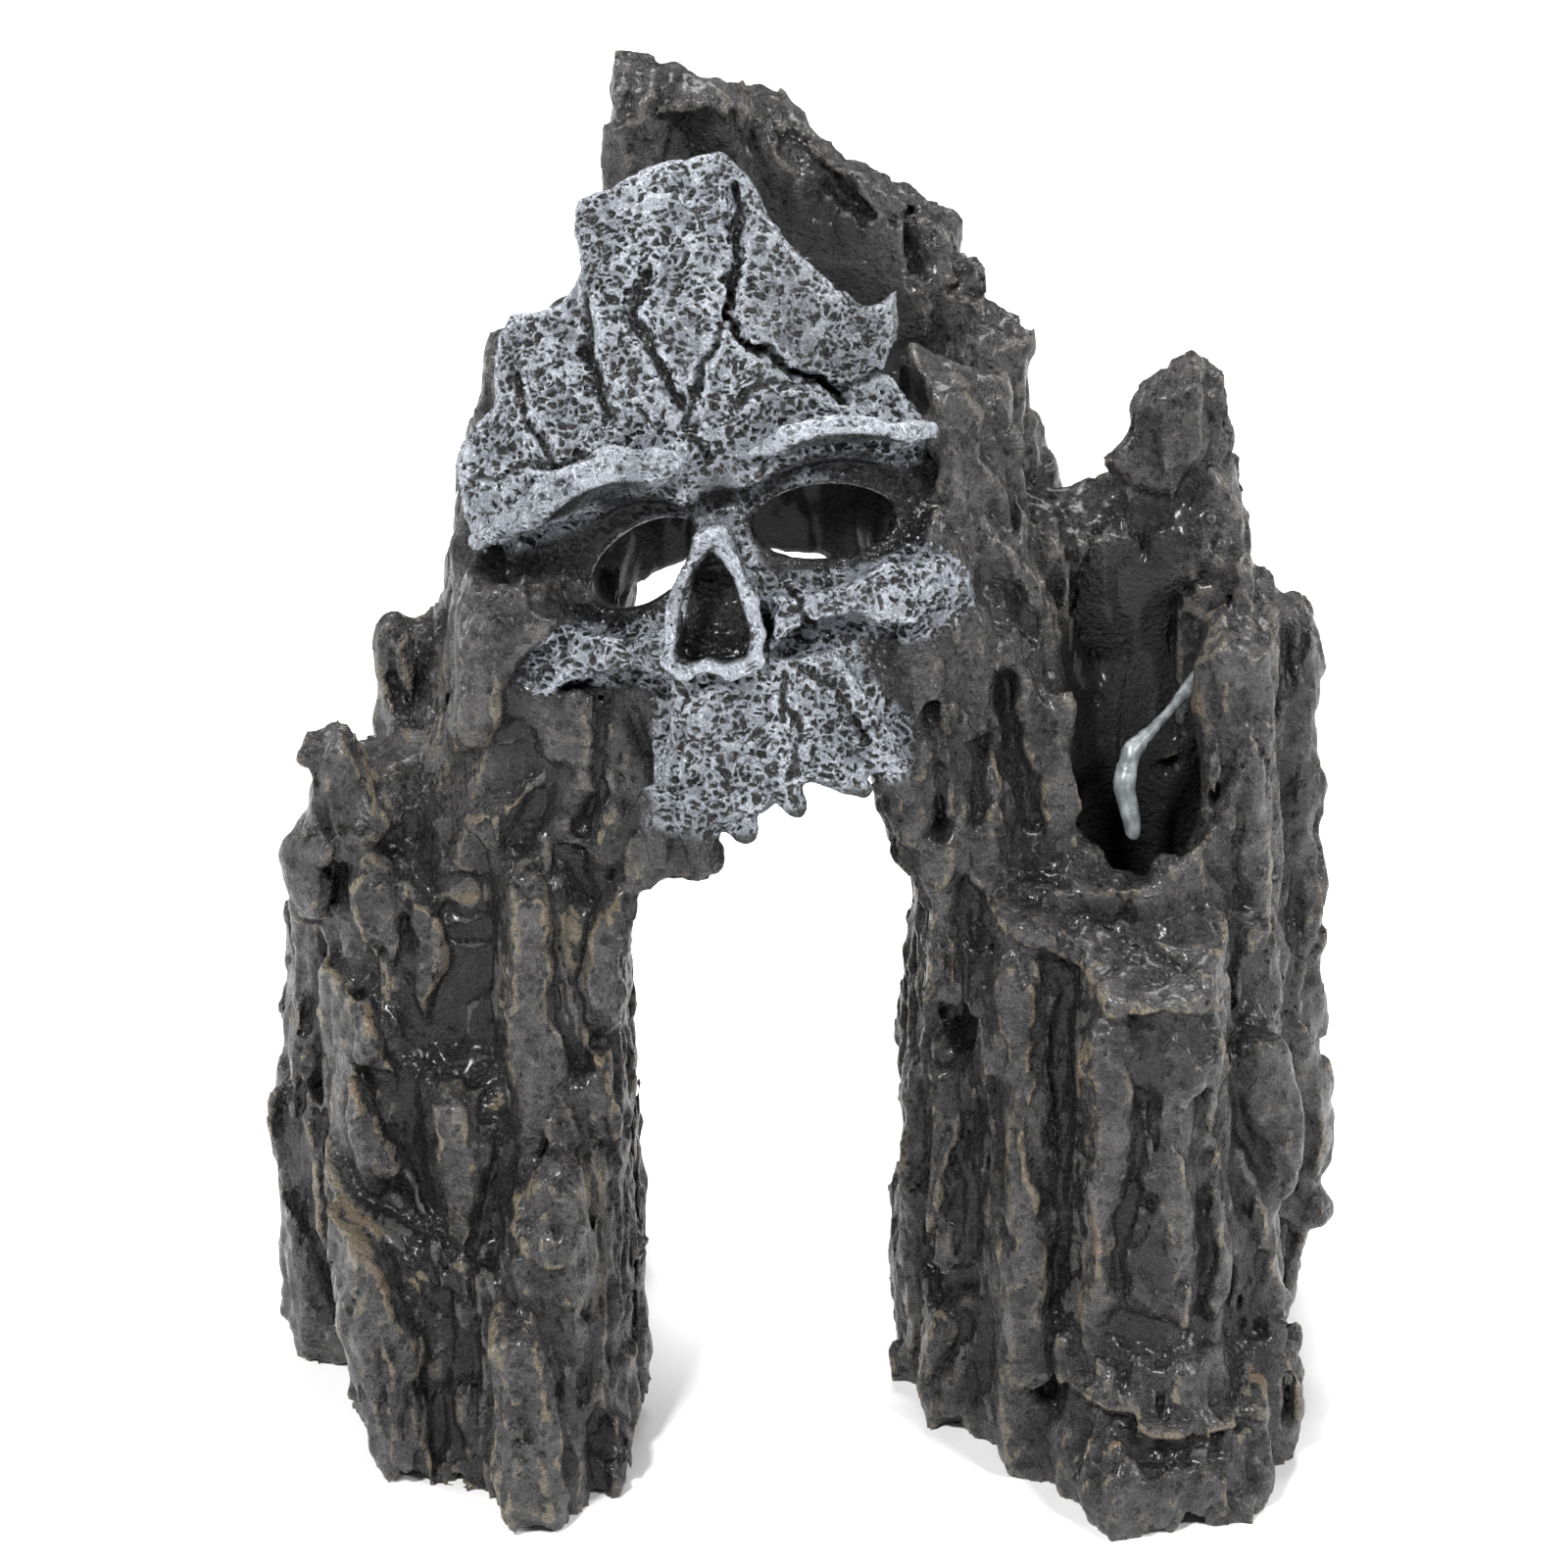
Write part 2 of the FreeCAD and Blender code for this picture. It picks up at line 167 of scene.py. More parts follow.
def blurred(values, reach):
    """The mean over a cube that reaches that many lattice points each way."""
    for axis in range(3):
        total = np.cumsum(values, axis=axis, dtype=np.float64)
        after = np.minimum(np.arange(values.shape[axis]) + reach, values.shape[axis] - 1)
        before = np.arange(values.shape[axis]) - reach - 1
        upper = np.take(total, after, axis=axis)
        lower = np.take(total, np.maximum(before, 0), axis=axis)
        shape = [1, 1, 1]
        shape[axis] = -1
        lower = np.where((before < 0).reshape(shape), 0, lower)
        count = (after - np.maximum(before, -1)).reshape(shape)
        values = ((upper - lower) / count).astype(np.float32)
    return values


def in_parts(work, points, size=100_000):
    """The results of work on the points, done by four threads, a part of them at a time."""
    parts = np.array_split(points, max(1, len(points) // size))
    with ThreadPoolExecutor(4) as pool:
        return np.concatenate(list(pool.map(work, parts)))


# ---------------------------------------------------------------- noise

TABLE = 64  # a noise repeats after this many cells


@lru_cache
def directions(seed):
    """A random direction for every cell of a noise."""
    table = np.random.default_rng(seed).normal(size=(TABLE**3, 3)).astype(np.float32)
    return table / np.linalg.norm(table, axis=1, keepdims=True)


@lru_cache
def scattered(seed):
    """A random place in every cell of a noise, and a random number for it."""
    rng = np.random.default_rng(seed)
    return rng.random((TABLE**3, 3), dtype=np.float32), rng.random(TABLE**3, dtype=np.float32)


def gradient_noise(points, seed):
    """Perlin noise, about -1 to 1, with one cell per unit."""
    table = directions(seed)
    base = np.floor(points)
    inside = (points - base).astype(np.float32)
    cell = base.astype(np.int64)
    fade = inside**3 * (inside * (inside * 6 - 15) + 10)
    total = np.zeros(len(points), np.float32)
    for corner in range(8):
        bits = np.array([(corner >> axis) & 1 for axis in range(3)])
        index = (cell + bits) % TABLE
        gradient = table[(index[:, 0] * TABLE + index[:, 1]) * TABLE + index[:, 2]]
        weight = np.prod(np.where(bits, fade, 1 - fade), axis=1)
        total += weight * np.einsum("ij,ij->i", gradient, inside - bits.astype(np.float32))
    return total * 1.6


def wobble(points, size, amount, seed):
    """A slow three-way shift of points."""
    shift = [gradient_noise(points / size, seed + axis) for axis in range(3)]
    return amount * np.stack(shift, 1)


def cell_noise(points, seed):
    """Nearest and second nearest distance to scattered seeds, one per unit cell, and the
    nearest one's own random number."""
    jitter, number = scattered(seed)
    cell = np.floor(points).astype(np.int64)
    inside = (points - cell).astype(np.float32)
    nearest = np.full(len(points), 9.0, np.float32)
    second = nearest.copy()
    found = np.zeros(len(points), np.float32)
    for offset in np.ndindex(3, 3, 3):
        step = np.array(offset) - 1
        index = (cell + step) % TABLE
        flat = (index[:, 0] * TABLE + index[:, 1]) * TABLE + index[:, 2]
        away = np.linalg.norm(jitter[flat] + step.astype(np.float32) - inside, axis=1)
        closer = away < nearest
        second = np.where(closer, nearest, np.minimum(second, away))
        nearest = np.where(closer, away, nearest)
        found = np.where(closer, number[flat], found)
    return nearest, second, found


def scoops(points, seed):
    """Height over scooped facets, one per unit cell: low in the middle of each, and up to
    about 1 on the sharp ridges between them."""
    jitter, number = scattered(seed)
    cell = np.floor(points).astype(np.int64)
    inside = (points - cell).astype(np.float32)
    height = np.full(len(points), 9.0, np.float32)
    for offset in np.ndindex(3, 3, 3):
        step = np.array(offset) - 1
        index = (cell + step) % TABLE
        flat = (index[:, 0] * TABLE + index[:, 1]) * TABLE + index[:, 2]
        away = jitter[flat] + step.astype(np.float32) - inside
        height = np.minimum(height, np.einsum("ij,ij->i", away, away) + 0.55 * number[flat])
    return height


# ---------------------------------------------------------------- the skull mask

# Outlines in (u, v), each anticlockwise or clockwise from its left end.
FOREHEAD = [
    (-27, 4.8), (-27.4, 9), (-26.6, 17.5), (-21.8, 20), (-20.6, 25), (-17.8, 29.4), (-12.6, 29.4),
    (-10.2, 32.5), (-8.4, 39), (-2.4, 40.4), (2, 41.6), (8.5, 40.4), (11, 37.5), (13, 30.5),
    (16.8, 25), (19, 22), (23, 24), (22.6, 18.8), (20.6, 15.2), (24.2, 7.4), (22, 5.6),
    (9, 5.6), (2, 4.4), (-3, 4.4), (-13, 6.4),
]  # fmt: skip
LEFT_CHEEK = [
    (-5.2, -4.9), (-11.7, -6.1), (-19.2, -2.9), (-21.9, -3.4), (-23, -6.2), (-25.9, -7.6),
    (-25.2, -11.4), (-21.7, -11.8), (-18.7, -10.2), (-12.6, -10.5), (-8.9, -12.3),
]  # fmt: skip
RIGHT_CHEEK = [
    (2.6, -4.2), (8.1, -4.7), (15.4, -4.2), (21.4, -4.5), (23.7, -8), (22.5, -11.3),
    (16.6, -12.6), (11, -10.4), (6.9, -10.5), (1, -12),
]  # fmt: skip
JAW = [
    (-8.9, -11), (-11.9, -18.8), (-13.8, -25.6), (-8.1, -27.8), (-2, -28.1), (0.4, -26.5),
    (5.7, -26), (12.6, -26), (13.6, -21.1), (10.7, -16.4), (9.8, -11.1), (0.6, -11),
]  # fmt: skip
NOSE = [(-3, 3.4), (-5.8, -1.6), (-9, -10.6), (-7.5, -13.2), (-4.5, -12.4), (1, -13.6), (3, -6), (1.2, 3.4)]
NASAL_HOLE = [
    (-1.4, 0), (-3.4, -1.5), (-5.3, -4.7), (-6.9, -9.4), (-5.9, -10.4), (-4, -10.1), (-2.3, -11),
    (-0.2, -10.8), (0.7, -9), (0.5, -6), (-0.1, -2.4),
]  # fmt: skip
SKULL_BACK = [
    (-25, 8), (-23, -9), (-14, -13), (-13.4, -25.5), (-2, -27.5), (12, -24.5), (14.5, -13),
    (22, -9.5), (22.5, 7.5), (15, 22), (8, 36), (-4, 36), (-14, 26), (-23, 16),
]  # fmt: skip

# Bars laid on the face: (u, v, w, radius) at each end.
BROWS = [
    ((-25.2, 6.4, -4.6, 2.0), (-16.5, 8.8, -0.4, 3.0)),
    ((-16.5, 8.8, -0.4, 3.0), (-9.5, 10.1, 0.6, 3.4)),
    ((-9.5, 10.1, 0.6, 3.4), (-3.4, 9.5, 0.3, 2.3)),
    ((3.0, 9.0, 0.8, 1.6), (8.5, 9.6, 1.2, 2.7)),
    ((8.5, 9.6, 1.2, 2.7), (15.5, 8.8, 0.0, 2.7)),
    ((15.5, 8.8, 0.0, 2.7), (22.8, 7.6, -3.2, 1.7)),
]
# The raised rim round the nasal hole, as (u, v, w, radius) from its top and back to it.
RIM_POINTS = [
    (-0.6, 1.6, 2.6, 1.2), (-2.6, 1.0, 2.8, 1.1), (-4.6, -1.4, 3.0, 0.9), (-6.4, -5.2, 2.9, 0.8),
    (-8.0, -9.8, 2.7, 0.8), (-6.6, -11.5, 2.9, 0.8), (-4.2, -11.0, 3.1, 0.8), (-2.2, -12.3, 2.9, 0.8),
    (0.9, -11.8, 2.8, 0.8), (1.8, -9.0, 2.9, 0.8), (1.4, -5.4, 3.0, 0.8), (0.6, -1.4, 3.0, 0.9),
    (-0.6, 1.6, 2.6, 1.2),
]  # fmt: skip
NASAL_RIM = list(zip(RIM_POINTS, RIM_POINTS[1:]))
SHARDS = [
    ((-12.4, -24.0, -2.0, 2.6), (-13.6, -29.4, -2.6, 1.4)),
    ((-8.8, -25.6, -1.5, 2.8), (-9.2, -30.4, -2.4, 1.9)),
    ((-4.8, -26.2, -1.2, 2.2), (-4.2, -28.4, -1.8, 1.7)),
    ((0.6, -25.0, -1.6, 2.0), (1.2, -27.0, -2.2, 1.6)),
    ((6.0, -24.2, -2.0, 2.4), (8.4, -26.8, -3.2, 1.3)),
    ((11.0, -23.0, -3.0, 2.4), (12.8, -28.6, -4.6, 1.2)),
]
# Eye holes: (u, v) of the middle, half length, half height, tilt in degrees.
EYES = [(-9.2, 0.5, 6.4, 3.7, 22), (9.9, 0.9, 7.3, 3.8, -7)]
DISH = 2.2  # how much wider an eye's mouth is than its hole, mostly on the outer and upper side
# Cracks across the brow: points (u, v), half width and depth.
CRACKS = [
    ([(8.1, 36), (7, 29), (4.4, 23.1), (6.4, 20.7), (10.6, 16.2), (15, 12.5)], 0.42, 2.4),
    ([(-2, 29.5), (-4.8, 25.6), (-3.2, 21.2), (-1.6, 15.2)], 0.6, 1.8),
    ([(-8.8, 28.5), (-9.8, 22.6), (-9.2, 16)], 0.7, 1.8),
    ([(-18, 22), (-17.6, 17), (-15.5, 12.6)], 0.6, 1.4),
    ([(4.4, 23.1), (1.5, 19.2), (-1.2, 13.7), (-0.4, 10)], 0.42, 1.6),
    ([(4.4, -13), (7.4, -16), (9.6, -22)], 0.4, 1.4),
    ([(5.4, -5.2), (7.2, -9.6)], 0.45, 1.2),
    ([(2.6, -14.5), (3.4, -19), (2.2, -24)], 0.35, 1.0),
    ([(10.8, 33.6), (14.6, 26.6), (18, 22)], 0.3, 0.9),
    ([(3.4, 14.8), (9, 15.6), (14, 13.6), (19.5, 14.4)], 0.35, 1.1),
    ([(-25, 12.4), (-19, 12.8), (-12, 12.0)], 0.4, 1.0),
]
GLABELLA = (0.2, 5.6, 3.0, 2.0)  # bare hollow between the brows: middle u, v and its half sizes


def face_coordinates(points):
    """Points in the skull mask's own frame."""
    away = points - FACE_ORIGIN
    return away @ FACE_U, away @ FACE_V, away @ FACE_W


def outline_distance(u, v, outline):
    """Signed distance to a closed outline, less than zero inside."""
    nearest = np.full(u.shape, 1e6)
    inside = np.zeros(u.shape, bool)
    for (u0, v0), (u1, v1) in zip(outline, outline[1:] + outline[:1]):
        along_u, along_v = u1 - u0, v1 - v0
        share = ((u - u0) * along_u + (v - v0) * along_v) / (along_u**2 + along_v**2)
        share = np.clip(share, 0, 1)
        away = (u - u0 - share * along_u) ** 2 + (v - v0 - share * along_v) ** 2
        nearest = np.minimum(nearest, away)
        if v0 != v1:
            crosses = ((v0 > v) != (v1 > v)) & (u < u0 + (v - v0) * along_u / along_v)
            inside ^= crosses
    return np.where(inside, -1, 1) * np.sqrt(nearest)


def line_distance(u, v, line):
    """Distance to an open line of points."""
    nearest = np.full(u.shape, 1e6)
    for (u0, v0), (u1, v1) in zip(line, line[1:]):
        along_u, along_v = u1 - u0, v1 - v0
        share = ((u - u0) * along_u + (v - v0) * along_v) / (along_u**2 + along_v**2)
        share = np.clip(share, 0, 1)
        away = (u - u0 - share * along_u) ** 2 + (v - v0 - share * along_v) ** 2
        nearest = np.minimum(nearest, away)
    return np.sqrt(nearest)


def bar_distance(u, v, w, start, end):
    """Distance to a round bar whose radius changes from start to end."""
    along = [e - s for s, e in zip(start[:3], end[:3])]
    share = sum((c - s) * a for c, s, a in zip((u, v, w), start, along))
    share = np.clip(share / sum(a * a for a in along), 0, 1)
    away = sum((c - s - share * a) ** 2 for c, s, a in zip((u, v, w), start, along))
    return np.sqrt(away) - (start[3] + share * (end[3] - start[3]))


def plate_distance(u, v, w, outline, front, thickness, rounding):
    """Distance to a plate with that outline, whose front stands at w = front."""
    side = outline_distance(u, v, outline) + rounding
    depth = np.abs(w - front + thickness / 2) - thickness / 2 + rounding
    outside = np.hypot(np.maximum(side, 0), np.maximum(depth, 0))
    return np.minimum(np.maximum(side, depth), 0) + outside - rounding


def crown(u, v):
    """How the face curves away towards its sides and its top."""
    return -0.0125 * u * u - 0.0035 * np.maximum(v - 14, 0) ** 2


def painted_parts(u, v, w):
    """Distance to the parts of the mask that are dry-brushed: brow, cheeks, nose and jaw."""
    curve = crown(u, v)
    bulge = 1.6 * np.exp(-(((u - 4) / 9) ** 2) - ((v - 17) / 9) ** 2)
    lobe = -1.6 * smooth_step(-8.5, -11, u) * smooth_step(12, 18, v)
    parts = plate_distance(u, v, w, FOREHEAD, curve + bulge + lobe, 7.0, 1.6)
    for outline, front, rounding in (
        (LEFT_CHEEK, curve + 0.8, 1.5),
        (RIGHT_CHEEK, curve + 1.0, 1.5),
        (JAW, curve + 1.6 - 0.5 * smooth_step(2, 9, u) * 3, 1.6),
        (NOSE, curve + 3.0, 1.2),
    ):
        plate = plate_distance(u, v, w, outline, front, 8.0, rounding)
        parts = smooth_min(parts, plate, 1.2)
    for start, end in BROWS + NASAL_RIM:
        parts = smooth_min(parts, bar_distance(u, v, w, start, end), 1.4)
    return parts


def eye_distance(u, v, eye, grow):
    """Rough distance to the wall of an eye hole that is grown by so many mm."""
    middle_u, middle_v, length, height, tilt = eye
    middle_u, middle_v = middle_u + np.sign(middle_u) * grow, middle_v + 0.35 * grow
    turn = math.radians(tilt)
    along = (u - middle_u) * math.cos(turn) + (v - middle_v) * math.sin(turn)
    across = (v - middle_v) * math.cos(turn) - (u - middle_u) * math.sin(turn)
    reach = np.sqrt((along / (length + grow)) ** 2 + (across / (height + grow)) ** 2)
    return (reach - 1) * (height + grow)


def opening_distance(points):
    """Distance to the space of the eye holes and the nasal cavity."""
    u, v, w = face_coordinates(points)
    curve = crown(u, v)
    opening = np.maximum(outline_distance(u, v, NASAL_HOLE), -(w + 3.5))
    for eye in EYES:
        dish = eye_distance(u, v, eye, DISH + 0.3 * np.clip(w - curve, -DISH, 3.0))
        hole = np.maximum(eye_distance(u, v, eye, 0.0), -(w - curve + 16))
        opening = np.minimum(opening, np.minimum(np.maximum(dish, -(w - curve + 4.5)), hole))
    return opening


def openings(window):
    """The openings' distance in a window."""
    points = window.points(np.arange(np.prod(window.shape)))
    values = in_parts(opening_distance, points)
    return np.clip(values, -BAND, BAND).astype(np.float32).reshape(window.shape)


def skull_distance(points):
    """Distance to the whole mask, with its eye holes, nasal cavity and cracks."""
    u, v, w = face_coordinates(points)
    curve = crown(u, v)
    back = plate_distance(u, v, w, SKULL_BACK, curve - 3.4, 6.0, 1.8)
    skull = smooth_min(painted_parts(u, v, w), back, 1.5)
    skull = skull + 1.3 * np.maximum(0.9 - scoops(points / 8.0, seed=35), 0)
    skull = skull + 0.8 * np.maximum(0.9 - scoops(points / 3.8, seed=33), 0)
    for start, end in SHARDS + NASAL_RIM:
        skull = smooth_min(skull, bar_distance(u, v, w, start, end), 0.9)
    skull = skull + 0.35 * np.maximum(0.9 - scoops(points / 1.9, seed=34), 0)
    skull = smooth_max(skull, -opening_distance(points), 0.5)
    cracks = sum(depth * np.exp(-(near**2)) for near, depth in crack_distances(points))
    skull = skull + cracks * smooth_step(-6, -4, w - curve)
    return skull + 1.2 * glabella(u, v)


def crack_distances(points):
    """For each crack, the distance to it in half widths, and its depth."""
    wander = wobble(points, 3.0, 0.9, seed=41) + wobble(points, 1.1, 0.3, seed=44)
    u, v, _ = face_coordinates(points + wander)
    uneven = 1 + 0.5 * gradient_noise(points / 2.5, seed=47)
    for line, half_width, depth in CRACKS:
        yield line_distance(u, v, line) / (half_width * uneven), depth


def glabella(u, v):
    """1 in the middle of the bare hollow between the brows, and 0 away from it."""
    middle_u, middle_v, half_u, half_v = GLABELLA
    return np.exp(-(((u - middle_u) / half_u) ** 2) - ((v - middle_v) / half_v) ** 2)


# ---------------------------------------------------------------- rock relief

# Broken edges on the front, as (depth, reach, points (x, z)). The rock drops by the depth on the
# left hand of someone who walks along the points, and rises again over the reach.
CLIFFS = [
    # Left leg, upper blocks
    (2.2, 4, [(-47, 78), (-45, 74), (-44, 72), (-42, 68)]),
    (2.6, 4.5, [(-45, 68), (-42, 65), (-40, 63), (-38, 60), (-38, 57), (-40, 51), (-41, 48)]),
    (1.4, 3, [(-44, 49), (-45, 55), (-47, 61), (-47, 65), (-46, 68)]),
    (2.4, 4, [(-55, 56), (-51, 54), (-48, 53), (-46, 51), (-44, 46)]),
    (1.4, 3, [(-52, 57), (-55, 59), (-58, 61)]),
    (2.2, 5, [(-48, 44), (-47, 42), (-45, 38), (-43, 35), (-41, 31), (-38, 26)]),
    (1.6, 3, [(-54, 21), (-53, 26), (-51, 33), (-51, 37), (-48, 44)]),
    # Left leg, inner columns
    (1.8, 3, [(-30, 44), (-31, 49), (-31, 56), (-30, 64), (-30, 68), (-28, 70)]),
    (2.4, 3, [(-27, 69), (-27, 64), (-27, 57), (-27, 53), (-24, 49), (-21, 47), (-20, 43)]),
    (2.2, 3, [(-22, 48), (-23, 53), (-23, 58), (-22, 62), (-20, 65), (-19, 67)]),
    # Left leg, foot
    (2.8, 4, [(-53, 34), (-52, 32), (-49, 30), (-46, 28), (-44, 24), (-43, 20)]),
    (2.0, 3, [(-50, 7), (-52, 15), (-53, 22), (-54, 30)]),
    (2.2, 3.5, [(-40, 20), (-41, 15), (-41, 9), (-40, 2)]),
    (1.8, 3, [(-33, 22), (-32, 26), (-31, 30), (-30, 34), (-28, 37)]),
    (2.6, 3.5, [(-22, 36), (-23, 31), (-22, 28), (-23, 24)]),
    (1.4, 2.5, [(-23, 31), (-25, 29), (-27, 29), (-28, 30), (-30, 31)]),
    (2.2, 3, [(-32, 2), (-33, 6), (-33, 10), (-34, 15), (-33, 21), (-32, 24)]),
    (1.6, 3, [(-28, 21), (-25, 17), (-25, 12), (-24, 6), (-24, 1)]),
    (0.8, 2, [(-29, 23), (-28, 20), (-27, 16), (-26, 12), (-26, 2)]),
    (1.6, 3, [(-23, 25), (-21, 19), (-21, 13), (-20, 8)]),
    # Left shoulder
    (1.6, 3, [(-43, 90), (-43, 84), (-42, 79), (-41, 75)]),
    (1.5, 3, [(-36, 79), (-38, 82), (-39, 85), (-40, 89)]),
    (2.2, 4, [(-29, 92), (-32, 88), (-32, 84), (-33, 81), (-36, 79), (-40, 77)]),
    (1.8, 3, [(-38, 71), (-34, 73), (-30, 75), (-27, 78)]),
    # Rear peak and ridge
    (1.8, 3, [(11, 126), (6, 130), (1, 135), (-2, 137)]),
    (1.8, 3, [(-2, 137), (-4, 135), (-6, 132)]),
    (1.6, 3, [(-9, 142), (-7, 139), (-7, 134)]),
    # Right leg
    (1.9, 4, [(44, 57), (39, 58), (31, 58), (29, 60), (24, 62), (20, 64), (18, 67)]),
    (1.6, 3, [(24, 59), (24, 52), (23, 45), (23, 38), (25, 30), (26, 22)]),
    (1.8, 2.5, [(31, 17), (29, 21), (29, 31), (28, 42), (29, 54)]),
    (2.2, 4, [(48, 11), (41, 11), (37, 11), (34, 13), (27, 14), (25, 12)]),
    (1.6, 3, [(53, 6), (53, 10), (50, 16)]),
    (1.8, 3, [(12, 5), (14, 12), (17, 16), (20, 18)]),
    (1.4, 3, [(22, 3), (21, 9), (22, 16), (21, 24), (21, 31)]),
    (1.3, 3, [(19, 46), (17, 39), (15, 32), (14, 26), (13, 15)]),
    (2.0, 3, [(44, 56), (43, 48), (42, 42)]),
    (1.8, 3, [(43, 41), (47, 35), (49, 29), (51, 20)]),
    (1.2, 2.5, [(49, 72), (49, 66), (50, 57)]),
    # Right tower
    (2.2, 4, [(15, 119), (18, 115), (18, 110), (20, 107), (23, 103)]),
    (2.4, 4, [(19, 103), (22, 100), (25, 96), (26, 91), (28, 85), (30, 81)]),
    (1.6, 4, [(41, 104), (39, 101), (36, 102), (33, 103)]),
    (1.6, 3, [(42, 115), (42, 110), (42, 104), (45, 102), (47, 97), (47, 90)]),
    (1.6, 3, [(49, 91), (50, 84), (49, 76)]),
    (1.6, 3, [(41, 76), (41, 87), (44, 91)]),
    (1.6, 2.5, [(43, 76), (42, 73), (39, 72)]),
]

# Grooves on the front, as (depth, half width, points (x, z)).
GROOVES = [
    # Left leg
    (3.8, 2.0, [(-37, 72), (-35, 67), (-35, 60), (-35, 49), (-33, 42)]),
    (3.2, 1.0, [(-24, 69), (-24, 63), (-25, 57), (-24, 53)]),
    (1.2, 0.8, [(-42, 54), (-41, 49), (-40, 44), (-39, 39)]),
    (2.0, 1.6, [(-51, 58), (-47, 57), (-45, 53)]),
    (2.6, 1.5, [(-43, 30), (-41, 26), (-40, 23), (-40, 19)]),
    (2.8, 1.3, [(-39, 18), (-39, 11), (-38, 6), (-37, 2)]),
    (1.5, 0.9, [(-33, 36), (-34, 31), (-35, 27), (-33, 23)]),
    (1.8, 0.9, [(-39, 28), (-37, 24), (-38, 20)]),
    (3.4, 1.4, [(-21, 37), (-21, 31), (-22, 26), (-22, 22)]),
    # Left shoulder
    (3.0, 2.2, [(-40, 75), (-35, 78), (-30, 81)]),
    (2.4, 1.5, [(-29, 71), (-28, 74), (-26, 78)]),
    (2.0, 1.0, [(-21, 86), (-21, 81), (-21, 76), (-23, 72)]),
    # Rear peak and ridge
    (1.6, 1.0, [(-17, 145), (-18, 142), (-18, 136)]),
    (1.6, 1.0, [(-14, 145), (-15, 140), (-16, 136)]),
    (1.5, 1.0, [(-20, 145), (-21, 141), (-20, 136)]),
    (1.6, 1.0, [(11, 127), (11, 122), (9, 117)]),
    # Right leg
    (3.0, 1.1, [(28, 59), (27, 49), (28, 41), (29, 31), (27, 21)]),
    (2.0, 1.1, [(35, 48), (35, 41), (33, 32), (33, 26)]),
    (2.0, 1.2, [(41, 47), (41, 40), (42, 32), (42, 20)]),
    (2.8, 2.4, [(34, 21), (39, 20)]),
    (2.0, 0.9, [(46, 16), (47, 11), (47, 4)]),
    (2.0, 1.0, [(20, 44), (20, 35), (21, 29)]),
    # Right tower
    (2.4, 1.8, [(20, 97), (22, 94), (25, 90), (26, 86)]),
    (1.8, 1.0, [(21, 87), (22, 79), (24, 72)]),
    (1.8, 1.0, [(13, 86), (14, 79), (14, 73)]),
    (1.6, 1.0, [(18, 81), (18, 73)]),
]

# Open air bubbles on the front: (x, z, radius).
BUBBLES = [
    (-42.5, 22.5, 1.0), (-38, 62, 0.9), (41, 43, 0.9), (41.5, 11.5, 1.0), (-30, 23, 0.9), (-28, 30, 0.8),
    (-41, 9, 0.6), (24, 56, 0.6), (29, 58, 0.6), (14, 41, 0.7), (45, 62, 1.0), (-40, 88, 0.9), (50, 62, 0.9),
    (39, 99, 0.7), (37, 30, 0.6), (35, 35, 0.5),
]  # fmt: skip


# Tips that the plain rocks lack, and places cut away from them, as round bars between two
# points (x, y, z, radius).
TIPS = [
    ((36.0, 8, 99, 5.0), (41.0, 8, 112, 3.2)),  # spire
    ((11, 20, 117, 5.0), (17, 19, 120, 4.0)),  # end of the rear ridge
    ((-31, -16, 93, 5.0), (-31, -16, 84, 5.0)),  # behind the left cheek's end
    ((12, -15, 98, 5.0), (19, -12, 91, 5.0)),  # behind the right cheek's end
    ((-26.5, -30, 26, 4.0), (-26.5, -30, 35.5, 3.8)),  # left leg's stub
    ((-47, -14, 70, 4.5), (-48.6, -14, 78.5, 3.4)),  # left shoulder
    ((-51.5, -12, 60, 4.0), (-53, -12, 67.5, 2.6)),
    ((-54.4, 6, 4, 4.2), (-55, 6, 19, 3.6)),  # left leg, outer lobe
    ((52, 3, 66, 4.0), (52.6, 3, 84, 3.2)),  # right tower, outer side
    ((46.5, 0, 93.5, 3.4), (51.8, 1, 87.5, 3.6)),
    ((54.2, 0, 20, 4.0), (55, 0, 33, 3.4)),  # right leg, outer lobe
    ((11.5, -17, 93, 4.5), (11, -18, 84, 4.8)),  # right haunch
    ((11, -18, 84, 4.8), (10.4, -17.5, 75, 3.6)),
    ((10.4, -17.5, 75, 3.6), (12.8, -17, 66, 2.8)),
    ((-45.2, -13.5, 2, 3.2), (-42, -23, 2, 3.2)),  # left leg, front of the foot
    ((-42, -23, 2, 3.2), (-36, -27.5, 2, 3.2)),
    ((-18.5, -17, 70.5, 3.4), (-11, -19, 69.4, 3.0)),  # left haunch
    ((-16, 18, 140.6, 2.6), (-8, 18, 138.8, 2.6)),  # rear peak
]
CUTS = [
    ((29.4, -6, 110, 4.2), (29.4, 30, 110, 4.2)),  # the saddle left of the spire
    ((28.6, -6, 103, 2.6), (28.6, 30, 103, 2.6)),
    ((-11, 12, 80, 7.8), (-11, 50, 76, 7.8)),  # the arch's rear, seen through the left eye
    ((-0.5, 12, 85.5, 3.6), (-0.5, 50, 79.5, 3.6)),  # and through the right eye
]


